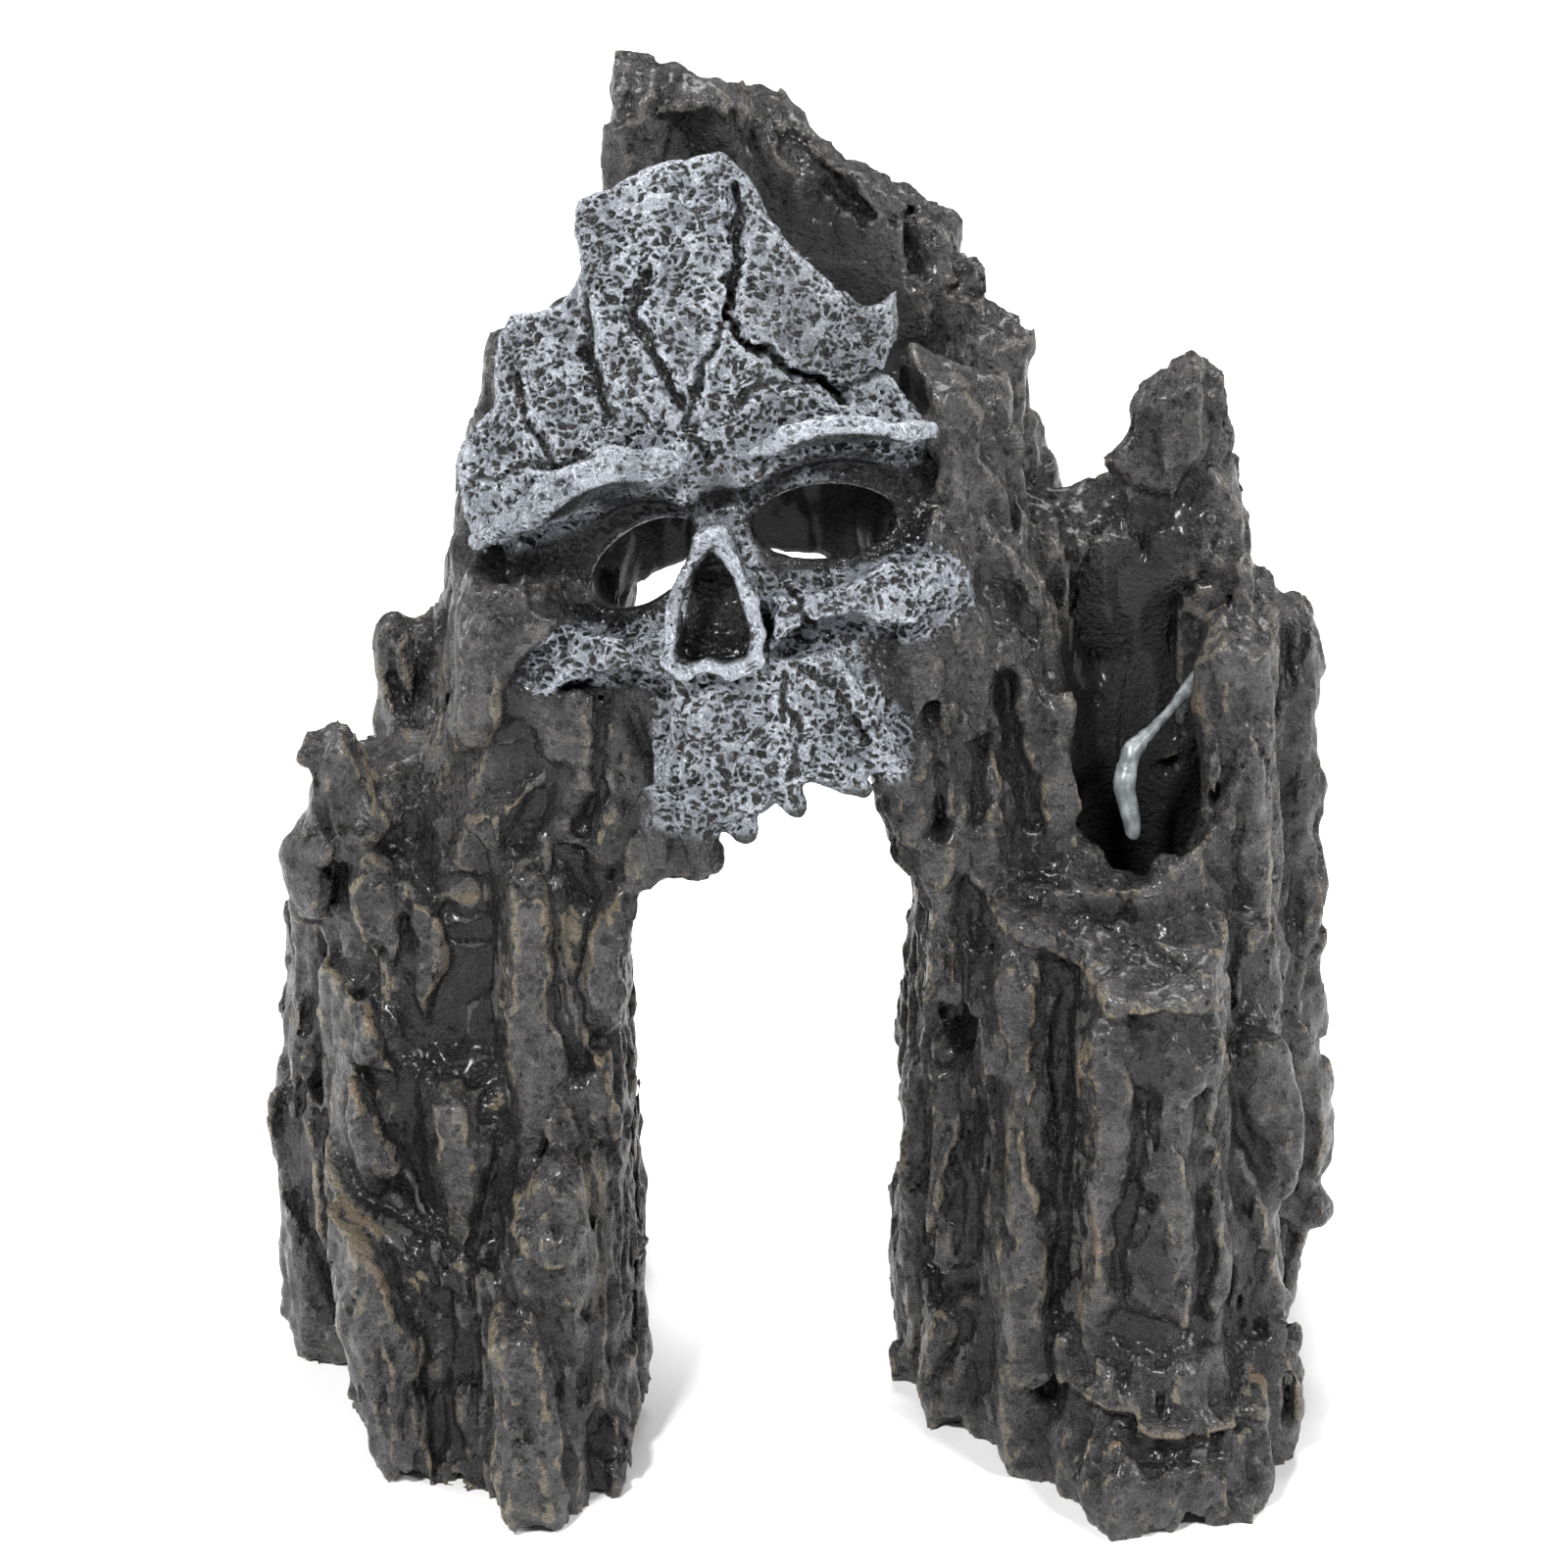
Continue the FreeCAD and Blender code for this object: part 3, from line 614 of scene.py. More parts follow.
def walked_side(x, z, line):
    """For points near a line: distance to it, distance to its left, and distance past its ends."""
    nearest = np.full(x.shape, 1e6, np.float32)
    side = nearest.copy()
    past = np.zeros(x.shape, np.float32)
    for number, ((x0, z0), (x1, z1)) in enumerate(zip(line, line[1:])):
        length = math.hypot(x1 - x0, z1 - z0)
        along_x, along_z = (x1 - x0) / length, (z1 - z0) / length
        along = (x - x0) * along_x + (z - z0) * along_z
        left = along_x * (z - z0) - along_z * (x - x0)
        beyond = np.maximum(np.maximum(-along, along - length), 0)
        away = np.hypot(left, beyond)
        closer = away < nearest
        nearest = np.where(closer, away, nearest)
        side = np.where(closer, left, side)
        end = (number == 0) * np.maximum(-along, 0)
        end = end + (number == len(line) - 2) * np.maximum(along - length, 0)
        past = np.where(closer, end, past)
    return nearest, side, past


def beside(points, line, reach):
    """Which points are within reach of a line's box, seen from the front."""
    low, high = np.min(line, 0) - reach, np.max(line, 0) + reach
    x, z = points[:, 0], points[:, 2]
    return np.flatnonzero((x > low[0]) & (x < high[0]) & (z > low[1]) & (z < high[1]))


def carved(points):
    """How deep the listed cliffs and grooves lie."""
    bent = points + wobble(points, 3.0, 0.6, seed=91)
    depth = np.zeros(len(points), np.float32)
    for drop, reach, line in CLIFFS:
        near = beside(points, line, 2.5 * reach)
        away, left, past = walked_side(bent[near, 0], bent[near, 2], line)
        fade = np.exp(-((past / 1.5) ** 2))
        fall = np.where(left > 0, (1 - np.exp(-((left / 0.6) ** 2))) * np.exp(-((away / reach) ** 2)), 0)
        rim = 0.35 * np.exp(-(((left + 0.3) / 0.8) ** 2)) * (away < 4)
        depth[near] = np.maximum(depth[near], 0) + fade * (drop * fall - rim)
    for drop, half_width, line in GROOVES:
        near = beside(points, line, 2.5 * half_width)
        away, left, past = walked_side(bent[near, 0], bent[near, 2], line)
        depth[near] += drop * np.exp(-((away / half_width) ** 2))
    return depth


def rock_relief(points):
    """How deep the rock's surface lies under its smooth shape: scooped facets and crevices."""
    bent = points + wobble(points, 9.0, 2.2, seed=11) + wobble(points, 3.0, 0.5, seed=14)
    coarse = scoops(bent * np.array([1, 1, 0.3], np.float32) / 6.5, seed=31)
    fine = scoops(bent * np.array([1, 1, 0.4], np.float32) / 2.5, seed=32)
    flute = np.abs(gradient_noise(bent * np.array([1, 1, 0.14], np.float32) / 4.5, seed=21))
    scratch = np.abs(gradient_noise(bent * np.array([1, 1, 0.15], np.float32) / 2.0, seed=22))
    crevice = 1.0 * np.exp(-flute / 0.09) + 0.45 * np.exp(-scratch / 0.12)
    return 1.7 * np.maximum(1 - coarse, 0) + 0.85 * np.maximum(1 - fine, 0) + crevice


def smooth_and_shaded_places(points):
    """1 where the casting is smooth, inside the chamber and the right leg's niche, else 0. The same share also
    paints these insides near black, as painted shade.
    """
    chamber = np.linalg.norm((points - [-5, 4, 95]) / [22, 21, 46], axis=1)
    niche = np.linalg.norm((points - [35, -5, 74]) / [9, 10, 34], axis=1)
    return smooth_step(1.15, 0.9, np.minimum(chamber, niche))


# ---------------------------------------------------------------- building the fields


def cad_surface(name):
    """A CAD node's points and triangles, in mm."""
    mesh = frame["nodes"][name].data
    mesh.calc_loop_triangles()
    points = np.empty(3 * len(mesh.vertices), np.float32)
    mesh.vertices.foreach_get("co", points)
    faces = np.empty(3 * len(mesh.loop_triangles), np.int32)
    mesh.loop_triangles.foreach_get("vertices", faces)
    return points.reshape(-1, 3) / MM, faces.reshape(-1, 3)


def bent_rock(name):
    """A CAD rock with rounded corners and wandering edges, let down a little through the base."""
    points, quads = level_set(*cad_surface(name), ROUNDING).convertToQuads(0)
    points = points + wobble(points, 11.0, 1.2, seed=1) * smooth_step(0, 8, points[:, 2:])
    points[points[:, 2] < 0.8, 2] -= 1.5
    return points, quads


def rock_field(name, whole):
    """Distance to one rock, in its own window."""
    points, quads = bent_rock(name)
    window = Window(points.min(0) - BAND, points.max(0) + BAND).clipped(whole)
    return window, as_array(level_set(points, quads, VOXEL), window)


def skull_field(whole):
    """Distance to the skull mask, in its own window."""
    window = Window((-44, -36, 64), (24, 4, 150)).clipped(whole)
    points = window.points(np.arange(np.prod(window.shape)))
    values = in_parts(skull_distance, points)
    return window, np.clip(values, -BAND, BAND).astype(np.float32).reshape(window.shape)


def all_fields(whole):
    """Each node's window and distance."""
    fields = {}
    for name in sorted(frame["nodes"]):
        fields[name] = skull_field(whole) if name == "skull_mask" else rock_field(name, whole)
    return fields


def owners(fields, whole):
    """The nearest and second nearest node's distance, and the nearest node's number."""
    nearest = np.full(whole.shape, BAND, np.float32)
    second = nearest.copy()
    owner = np.full(whole.shape, 255, np.uint8)
    for number, (window, distance) in enumerate(fields.values()):
        part = window.within(whole)
        closer = distance < nearest[part]
        second[part] = np.where(closer, nearest[part], np.minimum(second[part], distance))
        nearest[part] = np.where(closer, distance, nearest[part])
        owner[part][closer] = number
    return nearest, second, owner


def rock_pile(fields, whole):
    """Distance to all the rocks together, with the gaps between them filled to near the top."""
    pile = np.full(whole.shape, BAND, np.float32)
    for name, (window, distance) in fields.items():
        if name not in ("skull_mask", "adhesive_bead"):
            part = window.within(whole)
            pile[part] = smooth_min(pile[part], distance, MELT)
    swollen = level_set(*surface_of(pile - FILL, whole), ROUNDING)
    filled = as_array(level_set(*swollen.convertToQuads(-FILL), VOXEL), whole)
    near = np.flatnonzero(np.abs(filled) < RELIEF_REACH)
    depth = in_parts(lambda part: gradient_noise(whole.points(part) / 8, seed=52), near)
    flat = filled.ravel()
    flat[near] += 1.0 + 0.8 * depth
    pile = smooth_min(pile, flat.reshape(pile.shape), MELT)
    for start, end in TIPS + CUTS:
        low, high = np.minimum(start[:3], end[:3]), np.maximum(start[:3], end[:3])
        reach = max(start[3], end[3]) + BAND
        window = Window(low - reach, high + reach).clipped(whole)
        part = window.within(whole)
        points = window.points(np.arange(np.prod(window.shape)))
        points = points + wobble(points, 5.0, 1.2, seed=56)
        bar = bar_distance(*points.T, start, end).reshape(window.shape)
        joined = smooth_min(pile[part], bar, 3.0) if (start, end) in TIPS else smooth_max(pile[part], -bar, 2.0)
        pile[part] = np.clip(joined, -BAND, BAND)
    return pile


def front_of(body, whole):
    """For each lattice column from front to back, the y at which it first meets the rock."""
    first = np.argmax(body < 0, axis=1)
    return ((first + whole.first[1]) * VOXEL).astype(np.float32)


def add_relief(body, skull, whole):
    """Roughens the field near its surface, less on the mask and in the smooth hollows."""
    body = body - SWELL
    near = np.flatnonzero((body > -RELIEF_REACH) & (body < 1.0))
    flat = body.ravel()
    mask = skull.ravel()
    front = front_of(body, whole)

    def deepened(part):
        points = whole.points(part)
        i, j, k = np.unravel_index(part, whole.shape)
        in_front = smooth_step(7.0, 4.0, points[:, 1] - front[i, k])
        on_skull = smooth_step(1.2, -0.4, mask[part])
        rough = 1 - 0.85 * smooth_and_shaded_places(points)
        foot = 0.9 * smooth_step(4.0, 0.0, points[:, 2]) * (1 + gradient_noise(points / 6, seed=51))
        depth = rough * rock_relief(points) + SWELL * (1 - rough) + in_front * carved(points)
        return (1 - on_skull) * depth + SWELL * on_skull + foot

    flat[near] += in_parts(deepened, near)
    return add_bubbles(flat.reshape(body.shape), skull, front, whole)


def add_bubbles(body, skull, front, whole):
    """Opens small round air bubbles: some listed on the front, the rest scattered."""
    bubbles = []
    for x, z, radius in BUBBLES:
        i, k = round(x / VOXEL) - whole.first[0], round(z / VOXEL) - whole.first[2]
        bubbles.append((x, front[i, k] + 0.8, z, radius))
    rng = np.random.default_rng(5)
    for x, y, z in whole.points(rng.choice(np.flatnonzero(np.abs(body) < VOXEL / 2), 120)):
        bubbles.append((x, y, z, rng.uniform(0.5, 0.9)))
    for x, y, z, radius in bubbles:
        window = Window(np.array((x, y, z)) - 2, np.array((x, y, z)) + 2).clipped(whole)
        part = window.within(whole)
        away = window.points(np.arange(np.prod(window.shape))) - (x, y, z)
        ball = (radius - np.linalg.norm(away, axis=1)).reshape(window.shape)
        ball = np.where(skull[part] < 1.5, -BAND, ball)
        body[part] = np.maximum(body[part], ball)
    return body


def ornament(fields, whole):
    """Distance to the whole ornament's finished shape."""
    skull = np.full(whole.shape, BAND, np.float32)
    window, distance = fields["skull_mask"]
    skull[window.within(whole)] = distance
    body = smooth_min(rock_pile(fields, whole), skull, 0.8)
    body = add_relief(body, skull, whole)
    body[window.within(whole)] = np.maximum(body[window.within(whole)], -openings(window))
    window, distance = fields["adhesive_bead"]
    part = window.within(whole)
    body[part] = np.minimum(body[part], distance + 0.4)
    heights = (np.arange(whole.shape[2]) + whole.first[2]) * VOXEL
    return np.maximum(body, (CAD_BOX[0][2] / MM - heights).astype(np.float32))


# ---------------------------------------------------------------- meshes


def vertex_normals(points, quads):
    """Unit normals, out of the solid."""
    across = np.cross(points[quads[:, 2]] - points[quads[:, 0]], points[quads[:, 3]] - points[quads[:, 1]])
    total = np.stack(
        [np.bincount(quads.ravel(), np.repeat(across[:, a], 4), len(points)) for a in range(3)], 1
    )
    return total / np.maximum(np.linalg.norm(total, axis=1, keepdims=True), 1e-9)


def outward(points, quads):
    """The faces turned so that their normals point out of the solid."""
    a, b, c = (points[quads[:, k]] for k in range(3))
    volume = np.einsum("ij,ij->", a, np.cross(b, c))
    return quads if volume > 0 else quads[:, ::-1]


def make_piece(name, points, quads, values, material):
    """A Blender object from mm points, with a named number at each vertex."""
    mesh = bpy.data.meshes.new(name)
    mesh.vertices.add(len(points))
    mesh.vertices.foreach_set("co", (points * MM).astype(np.float32).ravel())
    mesh.loops.add(4 * len(quads))
    mesh.loops.foreach_set("vertex_index", quads.astype(np.int32).ravel())
    mesh.polygons.add(len(quads))
    mesh.polygons.foreach_set("loop_start", np.arange(0, 4 * len(quads), 4, dtype=np.int32))
    mesh.update(calc_edges=True)
    mesh.polygons.foreach_set("use_smooth", np.ones(len(quads), bool))
    for word, numbers in values.items():
        layer = mesh.attributes.new(word, "FLOAT", "POINT")
        layer.data.foreach_set("value", np.asarray(numbers, np.float32))
    mesh.materials.append(material)
    piece = bpy.data.objects.new(name, mesh)
    bpy.context.scene.collection.objects.link(piece)
    return piece


def subdivided(points, quads):
    """Each face split in four, by Catmull-Clark."""
    piece = make_piece("to_split", points, quads, {}, None)
    piece.modifiers.new("split", "SUBSURF").levels = 1
    mesh = piece.evaluated_get(bpy.context.evaluated_depsgraph_get()).to_mesh()
    fine = np.empty(3 * len(mesh.vertices), np.float32)
    mesh.vertices.foreach_get("co", fine)
    corners = np.empty(4 * len(mesh.polygons), np.int32)
    mesh.loops.foreach_get("vertex_index", corners)
    whole = piece.data
    bpy.data.objects.remove(piece)
    bpy.data.meshes.remove(whole)
    return fine.reshape(-1, 3).astype(np.float64) / MM, corners.reshape(-1, 4).astype(np.int64)


def bone_texture(points):
    """Height of the mask's pitted surface, 0 in a pit's floor to 1 on the net between pits."""
    bent = points + wobble(points, 2.2, 0.8, seed=61) + wobble(points, 0.8, 0.25, seed=65)
    u, v, w = face_coordinates(bent)
    lying = np.stack([u / 1.15, v / 0.8, w / 1.0], 1)
    near, second, number = cell_noise(lying, seed=71)
    crowd = 0.5 + 0.7 * gradient_noise(points / 5, seed=73)
    deep = smooth_step(0.1, 0.5, number + 0.5 * crowd)
    trough = np.exp(-np.abs(gradient_noise(lying * 0.36, seed=72)) / 0.05)
    return 1 - np.clip(deep * smooth_step(0.08, 0.34, second - near) + 0.6 * trough, 0, 1)


def bare_bars(u, v, w):
    """1 on the brow and nose bars, where the mask is nearly smooth, and 0 away from them."""
    nearest = np.full(u.shape, 9.0)
    for start, end in BROWS + NASAL_RIM:
        nearest = np.minimum(nearest, bar_distance(u, v, w, start, end))
    return smooth_step(0.4, -0.1, nearest)


def largest_part(points, quads):
    """The points and faces of the biggest connected part."""
    label = np.arange(len(points))
    while True:
        low = label[quads].min(1)
        new = label.copy()
        np.minimum.at(new, quads.ravel(), np.repeat(low, 4))
        new = new[new]
        if (new == label).all():
            break
        label = new
    sizes = np.bincount(label[quads[:, 0]], minlength=len(points))
    kept = label == sizes.argmax()
    number = np.cumsum(kept) - 1
    return points[kept], number[quads[kept[quads[:, 0]]]]


class Ornament:
    """The finished field, and what is needed to divide it into pieces."""

    def __init__(self):
        low, high = (np.array(corner) / MM for corner in CAD_BOX)
        self.whole = Window(low - BAND, high + BAND)
        self.fields = all_fields(self.whole)
        self.nearest, self.second, self.owner = owners(self.fields, self.whole)
        self.body = ornament(self.fields, self.whole)
        self.blurs = [blurred(self.body, max(1, round(reach / VOXEL))) for reach in (0.7, 3.6)]

    def surface(self, name):
        """The closed surface of one node's share of the ornament."""
        window, distance = self.fields[name]
        number = list(self.fields).index(name)
        part = window.within(self.whole)
        other = np.where(self.owner[part] == number, self.second[part], self.nearest[part])
        border = (distance - other) / 2
        solid = np.maximum(self.body[part] + np.maximum(border, 0), border - LAP)
        points, quads = largest_part(*surface_of(solid, window))
        return points, outward(points, quads)

    def convexity(self, points):
        """How far points stick out of their near and their wider surroundings."""
        here = self.whole.sample(self.body, points)
        return [self.whole.sample(blur, points) - here for blur in self.blurs]


def rock_piece(name, cave, material):
    """A rock's closed piece of the ornament, with fine grain."""
    points, quads = cave.surface(name)
    normals = vertex_normals(points, quads)
    edge, hollow = cave.convexity(points)
    smooth_and_shade = smooth_and_shaded_places(points)
    bent = points + wobble(points, 2.0, 0.5, seed=83)
    grain = 0.22 * gradient_noise(bent * np.array([1, 1, 0.6], np.float32) / 1.7, seed=81)
    grain = grain + 0.30 * np.minimum(scoops(bent * np.array([1, 1, 0.6], np.float32) / 1.8, seed=82) - 0.6, 0.4)
    points = points + (grain * (1 - 0.7 * smooth_and_shade))[:, None] * normals
    # In the material the hollow number darkens hollows, partly as painted shade, and the smooth number paints
    # the chamber and the niche near black, as painted shade.
    values = {"edge": edge, "hollow": hollow, "smooth": smooth_and_shade}
    return make_piece(name + "_cast", points, quads, values, material)


def mask_piece(name, cave, material):
    """The skull mask's closed piece of the ornament, with its pitted surface."""
    points, quads = cave.surface(name)
    points, quads = subdivided(points, quads)
    normals = vertex_normals(points, quads)
    edge, hollow = cave.convexity(points)
    u, v, w = face_coordinates(points)
    facing = smooth_step(-0.25, 0.3, normals @ FACE_W)
    paint = smooth_step(1.3, 0.2, painted_parts(u, v, w)) * facing
    paint = paint * smooth_step(0.0, 0.5, opening_distance(points)) * (1 - glabella(u, v))
    paint = paint * smooth_step(-0.5, 0.3, outline_distance(u, v, NASAL_HOLE))
    # Painted shade: round the eye sockets, and from 5 mm behind the face on, the hollow number is pushed down,
    # which paints the sockets and the inside seen through the holes near black.
    socket = smooth_step(1.0, -2.0, np.minimum(*(eye_distance(u, v, eye, 6.0) for eye in EYES)))
    hollow = np.array(hollow) - 1.1 * socket - 3.0 * smooth_step(-5.0, -8.0, w - crown(u, v))
    paint = paint * (1 - 0.3 * smooth_step(5, 11, u) * smooth_step(11, 16, v))
    for near, depth in crack_distances(points):
        paint = paint * smooth_step(0.3, 1.1, near)
    height = 1 - (1 - bone_texture(points)) * (1 - 0.4 * bare_bars(u, v, w))
    sunk = 0.5 * (1 - height) * (0.3 + 0.7 * paint)
    points = points - sunk[:, None] * normals
    values = {"edge": edge, "hollow": hollow, "paint": paint, "height": height}
    return make_piece(name + "_cast", points, quads, values, material)


# ---------------------------------------------------------------- materials


class Shader:
    """Adds nodes to a new material and joins them up."""

    def __init__(self, name):
        self.material = bpy.data.materials.new(name)
        self.material.use_nodes = True
        self.tree = self.material.node_tree
        self.bsdf = self.tree.nodes["Principled BSDF"]
        self.place = self.add("ShaderNodeTexCoord").outputs["Object"]

    def add(self, kind, **settings):
        node = self.tree.nodes.new(kind)
        for key, value in settings.items():
            setattr(node, key, value)
        return node

    def join(self, source, socket):
        """Joins a socket or sets a plain value."""
        if isinstance(source, bpy.types.NodeSocket):
            self.tree.links.new(source, socket)
        else:
            socket.default_value = source

    def math(self, operation, first, second=0.0, third=0.0):
        node = self.add("ShaderNodeMath", operation=operation)
        for socket, source in zip(node.inputs, (first, second, third)):
            self.join(source, socket)
        return node.outputs[0]

    def ramp(self, source, low, high):
        """0 at low to 1 at high, smoothly."""
        node = self.add("ShaderNodeMapRange", interpolation_type="SMOOTHSTEP")
        self.join(source, node.inputs["Value"])
        node.inputs["From Min"].default_value = low
        node.inputs["From Max"].default_value = high
        return node.outputs[0]

    def noise(self, size_mm, detail=3.0, roughness=0.55):
        """Noise whose lumps are about that wide."""
        node = self.add("ShaderNodeTexNoise")
        self.join(self.place, node.inputs["Vector"])
        node.inputs["Scale"].default_value = 1 / (size_mm * MM)
        node.inputs["Detail"].default_value = detail
        node.inputs["Roughness"].default_value = roughness
        return node.outputs["Fac"]

    def height_share(self, high_mm, low_mm, least):
        """The least share above one height, rising to 1 below another."""
        parts = self.add("ShaderNodeSeparateXYZ")
        self.join(self.place, parts.inputs[0])
        share = self.ramp(parts.outputs["Z"], high_mm * MM, low_mm * MM)
        return self.math("MULTIPLY_ADD", share, 1 - least, least)

    def number(self, word):
        """A number that the mesh holds at each vertex."""
        return self.add("ShaderNodeAttribute", attribute_name=word).outputs["Fac"]

    def mix(self, share, first, second):
        """Colour first, turning into second as share goes to 1."""
        node = self.add("ShaderNodeMix", data_type="RGBA")
        self.join(share, node.inputs[0])
        self.join(first, node.inputs[6])
        self.join(second, node.inputs[7])
        return node.outputs[2]

    def bump(self, height, distance_mm, strength, under=None):
        node = self.add("ShaderNodeBump")
        node.inputs["Strength"].default_value = strength
        node.inputs["Distance"].default_value = distance_mm * MM
        self.join(height, node.inputs["Height"])
        if under is not None:
            self.join(under, node.inputs["Normal"])
        return node.outputs[0]


def colour(red, green, blue):
    return (red, green, blue, 1.0)


# Near black: painted shade in hollows, pits and the insides, and the darker paint that gathers in crevices.
WASH_AND_SHADE_BLACK = colour(0.0085, 0.008, 0.0085)
CHARCOAL = colour(0.016, 0.0152, 0.0154)
CHARCOAL_PALE = colour(0.080, 0.077, 0.077)
OCHRE = colour(0.215, 0.180, 0.120)
TAN = colour(0.260, 0.180, 0.120)
RUBBED = colour(0.200, 0.196, 0.192)
BONE = colour(0.300, 0.320, 0.370)
BONE_BRIGHT = colour(0.680, 0.720, 0.800)


def pits(shader, size_mm, share):
    """1 in small scattered pits, and 0 on the stone between them."""
    cells = shader.add("ShaderNodeTexVoronoi", feature="F1")
    shader.join(shader.place, cells.inputs["Vector"])
    cells.inputs["Scale"].default_value = 1 / (size_mm * MM)
    bend = shader.math("SUBTRACT", shader.noise(size_mm * 1.2, 3.0), 0.5)
    near = shader.math("ADD", cells.outputs["Distance"], shader.math("MULTIPLY", bend, 0.9))
    return shader.ramp(near, 0.25 + share, 0.1 + share)


def charcoal(shader, hollow, lump, pitted):
    """Charcoal paint, paler on noise lumps. Hollows and pits are darkened to black, partly the darker paint that
    gathers there and partly painted shade, and what stands out is a little paler, as painted light.
    """
    patch = shader.math("MULTIPLY", shader.math("SUBTRACT", shader.noise(7.0, 4.0), 0.5), 0.5)
    # The hollow number makes what stands out a little paler and hollows a little darker: painted light and
    # shade.
    patch = shader.math("ADD", patch, shader.math("MULTIPLY", hollow, 0.08))
    stone = shader.mix(shader.ramp(shader.math("ADD", patch, lump), 0.38, 0.68), CHARCOAL, CHARCOAL_PALE)
    stone = shader.mix(shader.math("MULTIPLY", pitted, 0.8), stone, WASH_AND_SHADE_BLACK)
    # Painted shade, partly the darker paint in crevices: hollows turn near black.
    return shader.mix(shader.ramp(hollow, 0.15, -1.1), stone, WASH_AND_SHADE_BLACK)


def grainy(shader, lump, pitted):
    """Lumpy, pitted grain with glossy flecks: the roughness and the normal."""
    shader.bsdf.inputs["Coat Weight"].default_value = 0.2
    shader.bsdf.inputs["Coat Roughness"].default_value = 0.18
    fleck = shader.noise(0.45, 2.0)
    gloss = shader.math("MULTIPLY", shader.ramp(fleck, 0.46, 0.58), 0.2)
    gloss = shader.math("SUBTRACT", 0.32, gloss)
    rough = shader.bump(lump, 2.0, 1.0)
    rough = shader.bump(shader.math("SUBTRACT", 1.0, pitted), 0.45, 1.0, rough)
    return gloss, shader.bump(fleck, 0.6, 1.0, rough)


def cast_rock():
    """Charcoal resin with glossy flecks, dry-brushed ochre and tan along its sharp edges."""
    shader = Shader("cast_rock")
    edge = shader.number("edge")
    hollow = shader.number("hollow")
    lump, pitted = shader.noise(1.7, 7.0, 0.72), pits(shader, 1.2, 0.08)
    stone = charcoal(shader, hollow, lump, pitted)
    # Painted shade: the smooth number darkens the chamber and the niche to near black.
    stone = shader.mix(shader.math("MULTIPLY", shader.number("smooth"), 0.9), stone, WASH_AND_SHADE_BLACK)
    worn = shader.math("MULTIPLY", shader.math("SUBTRACT", lump, 0.5), 1.0)
    worn = shader.math("ADD", edge, worn)
    where = shader.ramp(shader.noise(12.0, 2.0), 0.34, 0.54)
    where = shader.math("MULTIPLY", where, shader.ramp(hollow, -0.2, 0.4))
    where = shader.math("MULTIPLY", where, shader.height_share(105.0, 65.0, 0.25))
    worn = shader.ramp(worn, 0.17, 0.27)
    rubbed = shader.math("MULTIPLY", shader.math("SUBTRACT", 1.0, where), worn)
    stone = shader.mix(shader.math("MULTIPLY", rubbed, 0.45), stone, RUBBED)
    worn = shader.math("MULTIPLY", worn, where)
    edging = shader.mix(shader.ramp(shader.noise(5.0, 3.0), 0.5, 0.7), OCHRE, TAN)
    stone = shader.mix(shader.math("MULTIPLY", worn, 0.8), stone, edging)
    shader.join(stone, shader.bsdf.inputs["Base Color"])
    gloss, normal = grainy(shader, lump, pitted)
    matt = shader.math("MULTIPLY", shader.number("smooth"), 0.4)
    shader.join(shader.math("ADD", gloss, matt), shader.bsdf.inputs["Roughness"])
    shader.join(normal, shader.bsdf.inputs["Normal"])
    return shader.material


def painted_bone():
    """The mask: charcoal resin with pale blue-grey brushed over all that stands proud."""
    shader = Shader("painted_bone")
    edge = shader.number("edge")
    lump, pitted = shader.noise(0.9, 6.0, 0.75), pits(shader, 0.6, 0.0)
    smear = shader.math("SUBTRACT", lump, 0.5)
    stone = charcoal(shader, shader.number("hollow"), lump, pitted)
    height = shader.math("SUBTRACT", shader.number("height"), shader.math("MULTIPLY", pitted, 0.4))
    ragged = shader.math("ADD", height, shader.math("MULTIPLY", smear, 1.2))
    ragged = shader.math("ADD", ragged, shader.math("MULTIPLY", edge, 0.8))
    brushed = shader.math("MULTIPLY", shader.ramp(ragged, 0.25, 0.85), shader.number("paint"))
    bright = shader.math("ADD", shader.math("MULTIPLY", edge, 1.6), shader.noise(5.0, 3.0))
    bright = shader.math("ADD", bright, shader.math("MULTIPLY", smear, 0.8))
    bone = shader.mix(shader.ramp(bright, 0.35, 1.0), BONE, BONE_BRIGHT)
    shader.join(shader.mix(brushed, stone, bone), shader.bsdf.inputs["Base Color"])
    gloss, normal = grainy(shader, lump, pitted)
    matt = shader.math("MULTIPLY", brushed, 0.25)
    shader.join(shader.math("ADD", gloss, matt), shader.bsdf.inputs["Roughness"])
    shader.join(normal, shader.bsdf.inputs["Normal"])
    return shader.material


def hardened_adhesive():
    """Cloudy grey adhesive, glossy where it ran."""
    shader = Shader("hardened_adhesive")
    cloud = shader.ramp(shader.noise(1.4, 3.0), 0.35, 0.7)
    shader.join(
        shader.mix(cloud, colour(0.10, 0.11, 0.115), colour(0.25, 0.27, 0.28)),
        shader.bsdf.inputs["Base Color"],
    )
    shader.bsdf.inputs["Roughness"].default_value = 0.3
    shader.join(shader.bump(shader.noise(0.9), 0.15, 0.6), shader.bsdf.inputs["Normal"])
    return shader.material


def pale_floor():
    shader = Shader("pale_floor")
    tint = shader.mix(shader.noise(40.0), colour(0.86, 0.86, 0.86), colour(0.88, 0.88, 0.88))
    shader.join(tint, shader.bsdf.inputs["Base Color"])
    shader.bsdf.inputs["Roughness"].default_value = 0.8
    return shader.material


# ---------------------------------------------------------------- studio


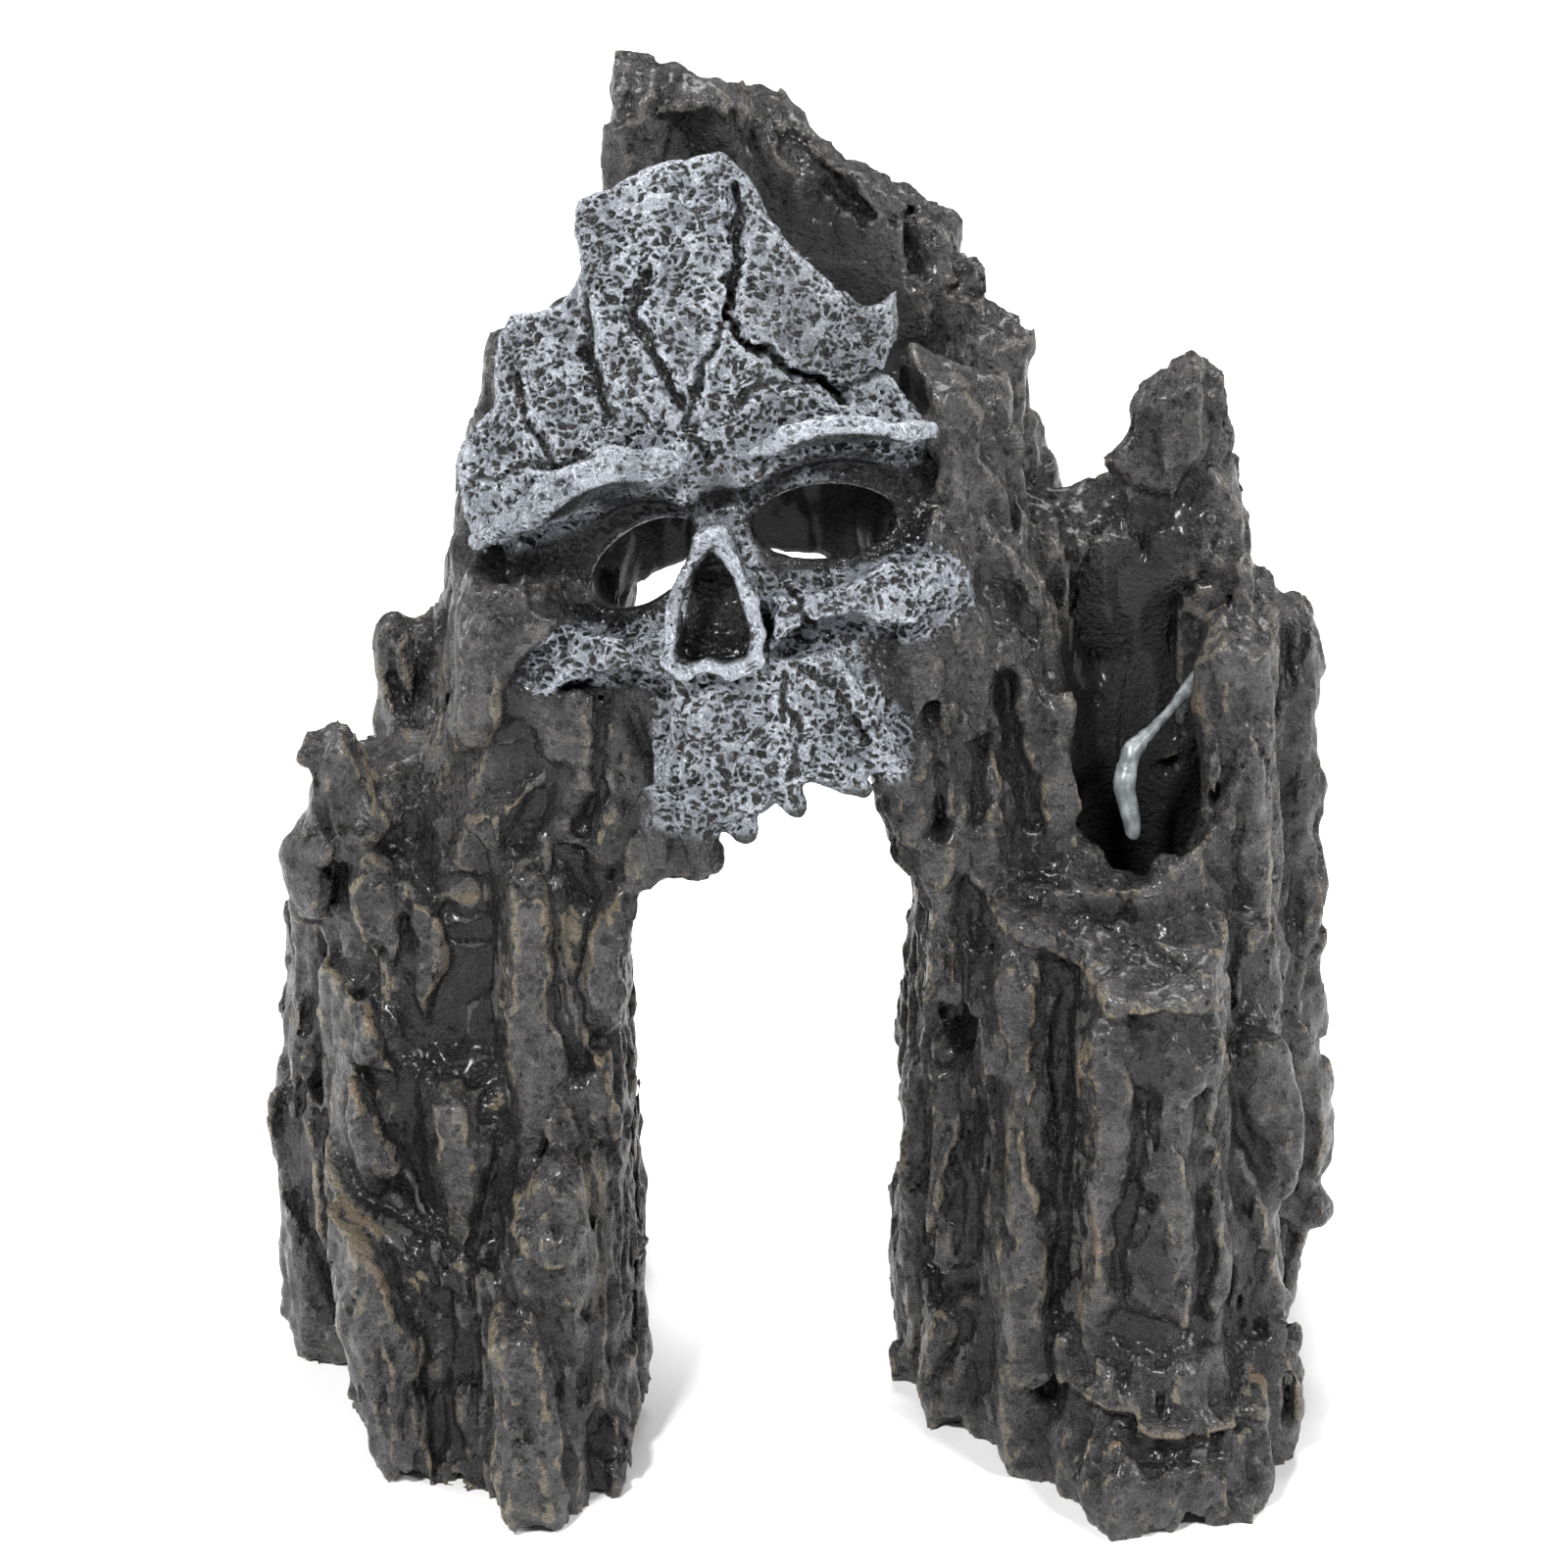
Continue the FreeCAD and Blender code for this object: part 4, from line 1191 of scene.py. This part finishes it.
def add_floor():
    bpy.ops.mesh.primitive_plane_add(size=8)
    floor = bpy.context.object
    floor.name = "floor"
    floor.location.z = CAD_BOX[0][2]
    floor.data.materials.append(pale_floor())


def add_softbox(place, size, power):
    """A square area light at a place in mm, aimed at the ornament's middle."""
    light = bpy.data.lights.new("softbox", "AREA")
    light.size = size * MM
    light.energy = power
    lamp = bpy.data.objects.new("softbox", light)
    bpy.context.scene.collection.objects.link(lamp)
    lamp.location = Vector(place) * MM
    aim = Vector((0, 0, 70)) * MM - lamp.location
    lamp.rotation_euler = aim.to_track_quat("-Z", "Y").to_euler()


def add_studio():
    world = bpy.data.worlds.new("studio")
    bpy.context.scene.world = world
    world.use_nodes = True
    world.node_tree.nodes["Background"].inputs["Color"].default_value = colour(1, 1, 1)
    world.node_tree.nodes["Background"].inputs["Strength"].default_value = 0.20
    add_softbox((0, 600, 1400), 600, 28.0)
    add_softbox((-420, -900, 1150), 170, 24.0)
    add_softbox((600, -800, 900), 170, 8.0)
    add_softbox((-1200, 0, 500), 300, 8.0)
    add_softbox((1200, -100, 600), 300, 9.0)
    bpy.context.scene.view_settings.view_transform = "Standard"


def add_camera():
    """Looks along +Y from 22 degrees above the horizon."""
    target = np.array([-2.1, 0.0, 69.4])
    away, lift = 650.0, math.radians(22)
    data = bpy.data.cameras.new("camera")
    data.sensor_width = 36
    data.lens = 36 * 9.5 * away / 1600
    camera = bpy.data.objects.new("camera", data)
    bpy.context.scene.collection.objects.link(camera)
    place = target + away * np.array([0, -math.cos(lift), math.sin(lift)])
    camera.location = Vector(place) * MM
    camera.rotation_euler = (math.pi / 2 - lift, 0, 0)
    bpy.context.scene.camera = camera


def main():
    cave = Ornament()
    rock = cast_rock()
    bone = painted_bone()
    adhesive = hardened_adhesive()
    for row in frame["record"]["subparts"]:
        name, slot = row["node"], row["material_slot"]
        if slot == "mask":
            piece = mask_piece(name, cave, bone)
        else:
            piece = rock_piece(name, cave, adhesive if slot == "adhesive" else rock)
        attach(piece, "root")
        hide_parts(name)
    add_floor()
    add_studio()
    add_camera()


main()
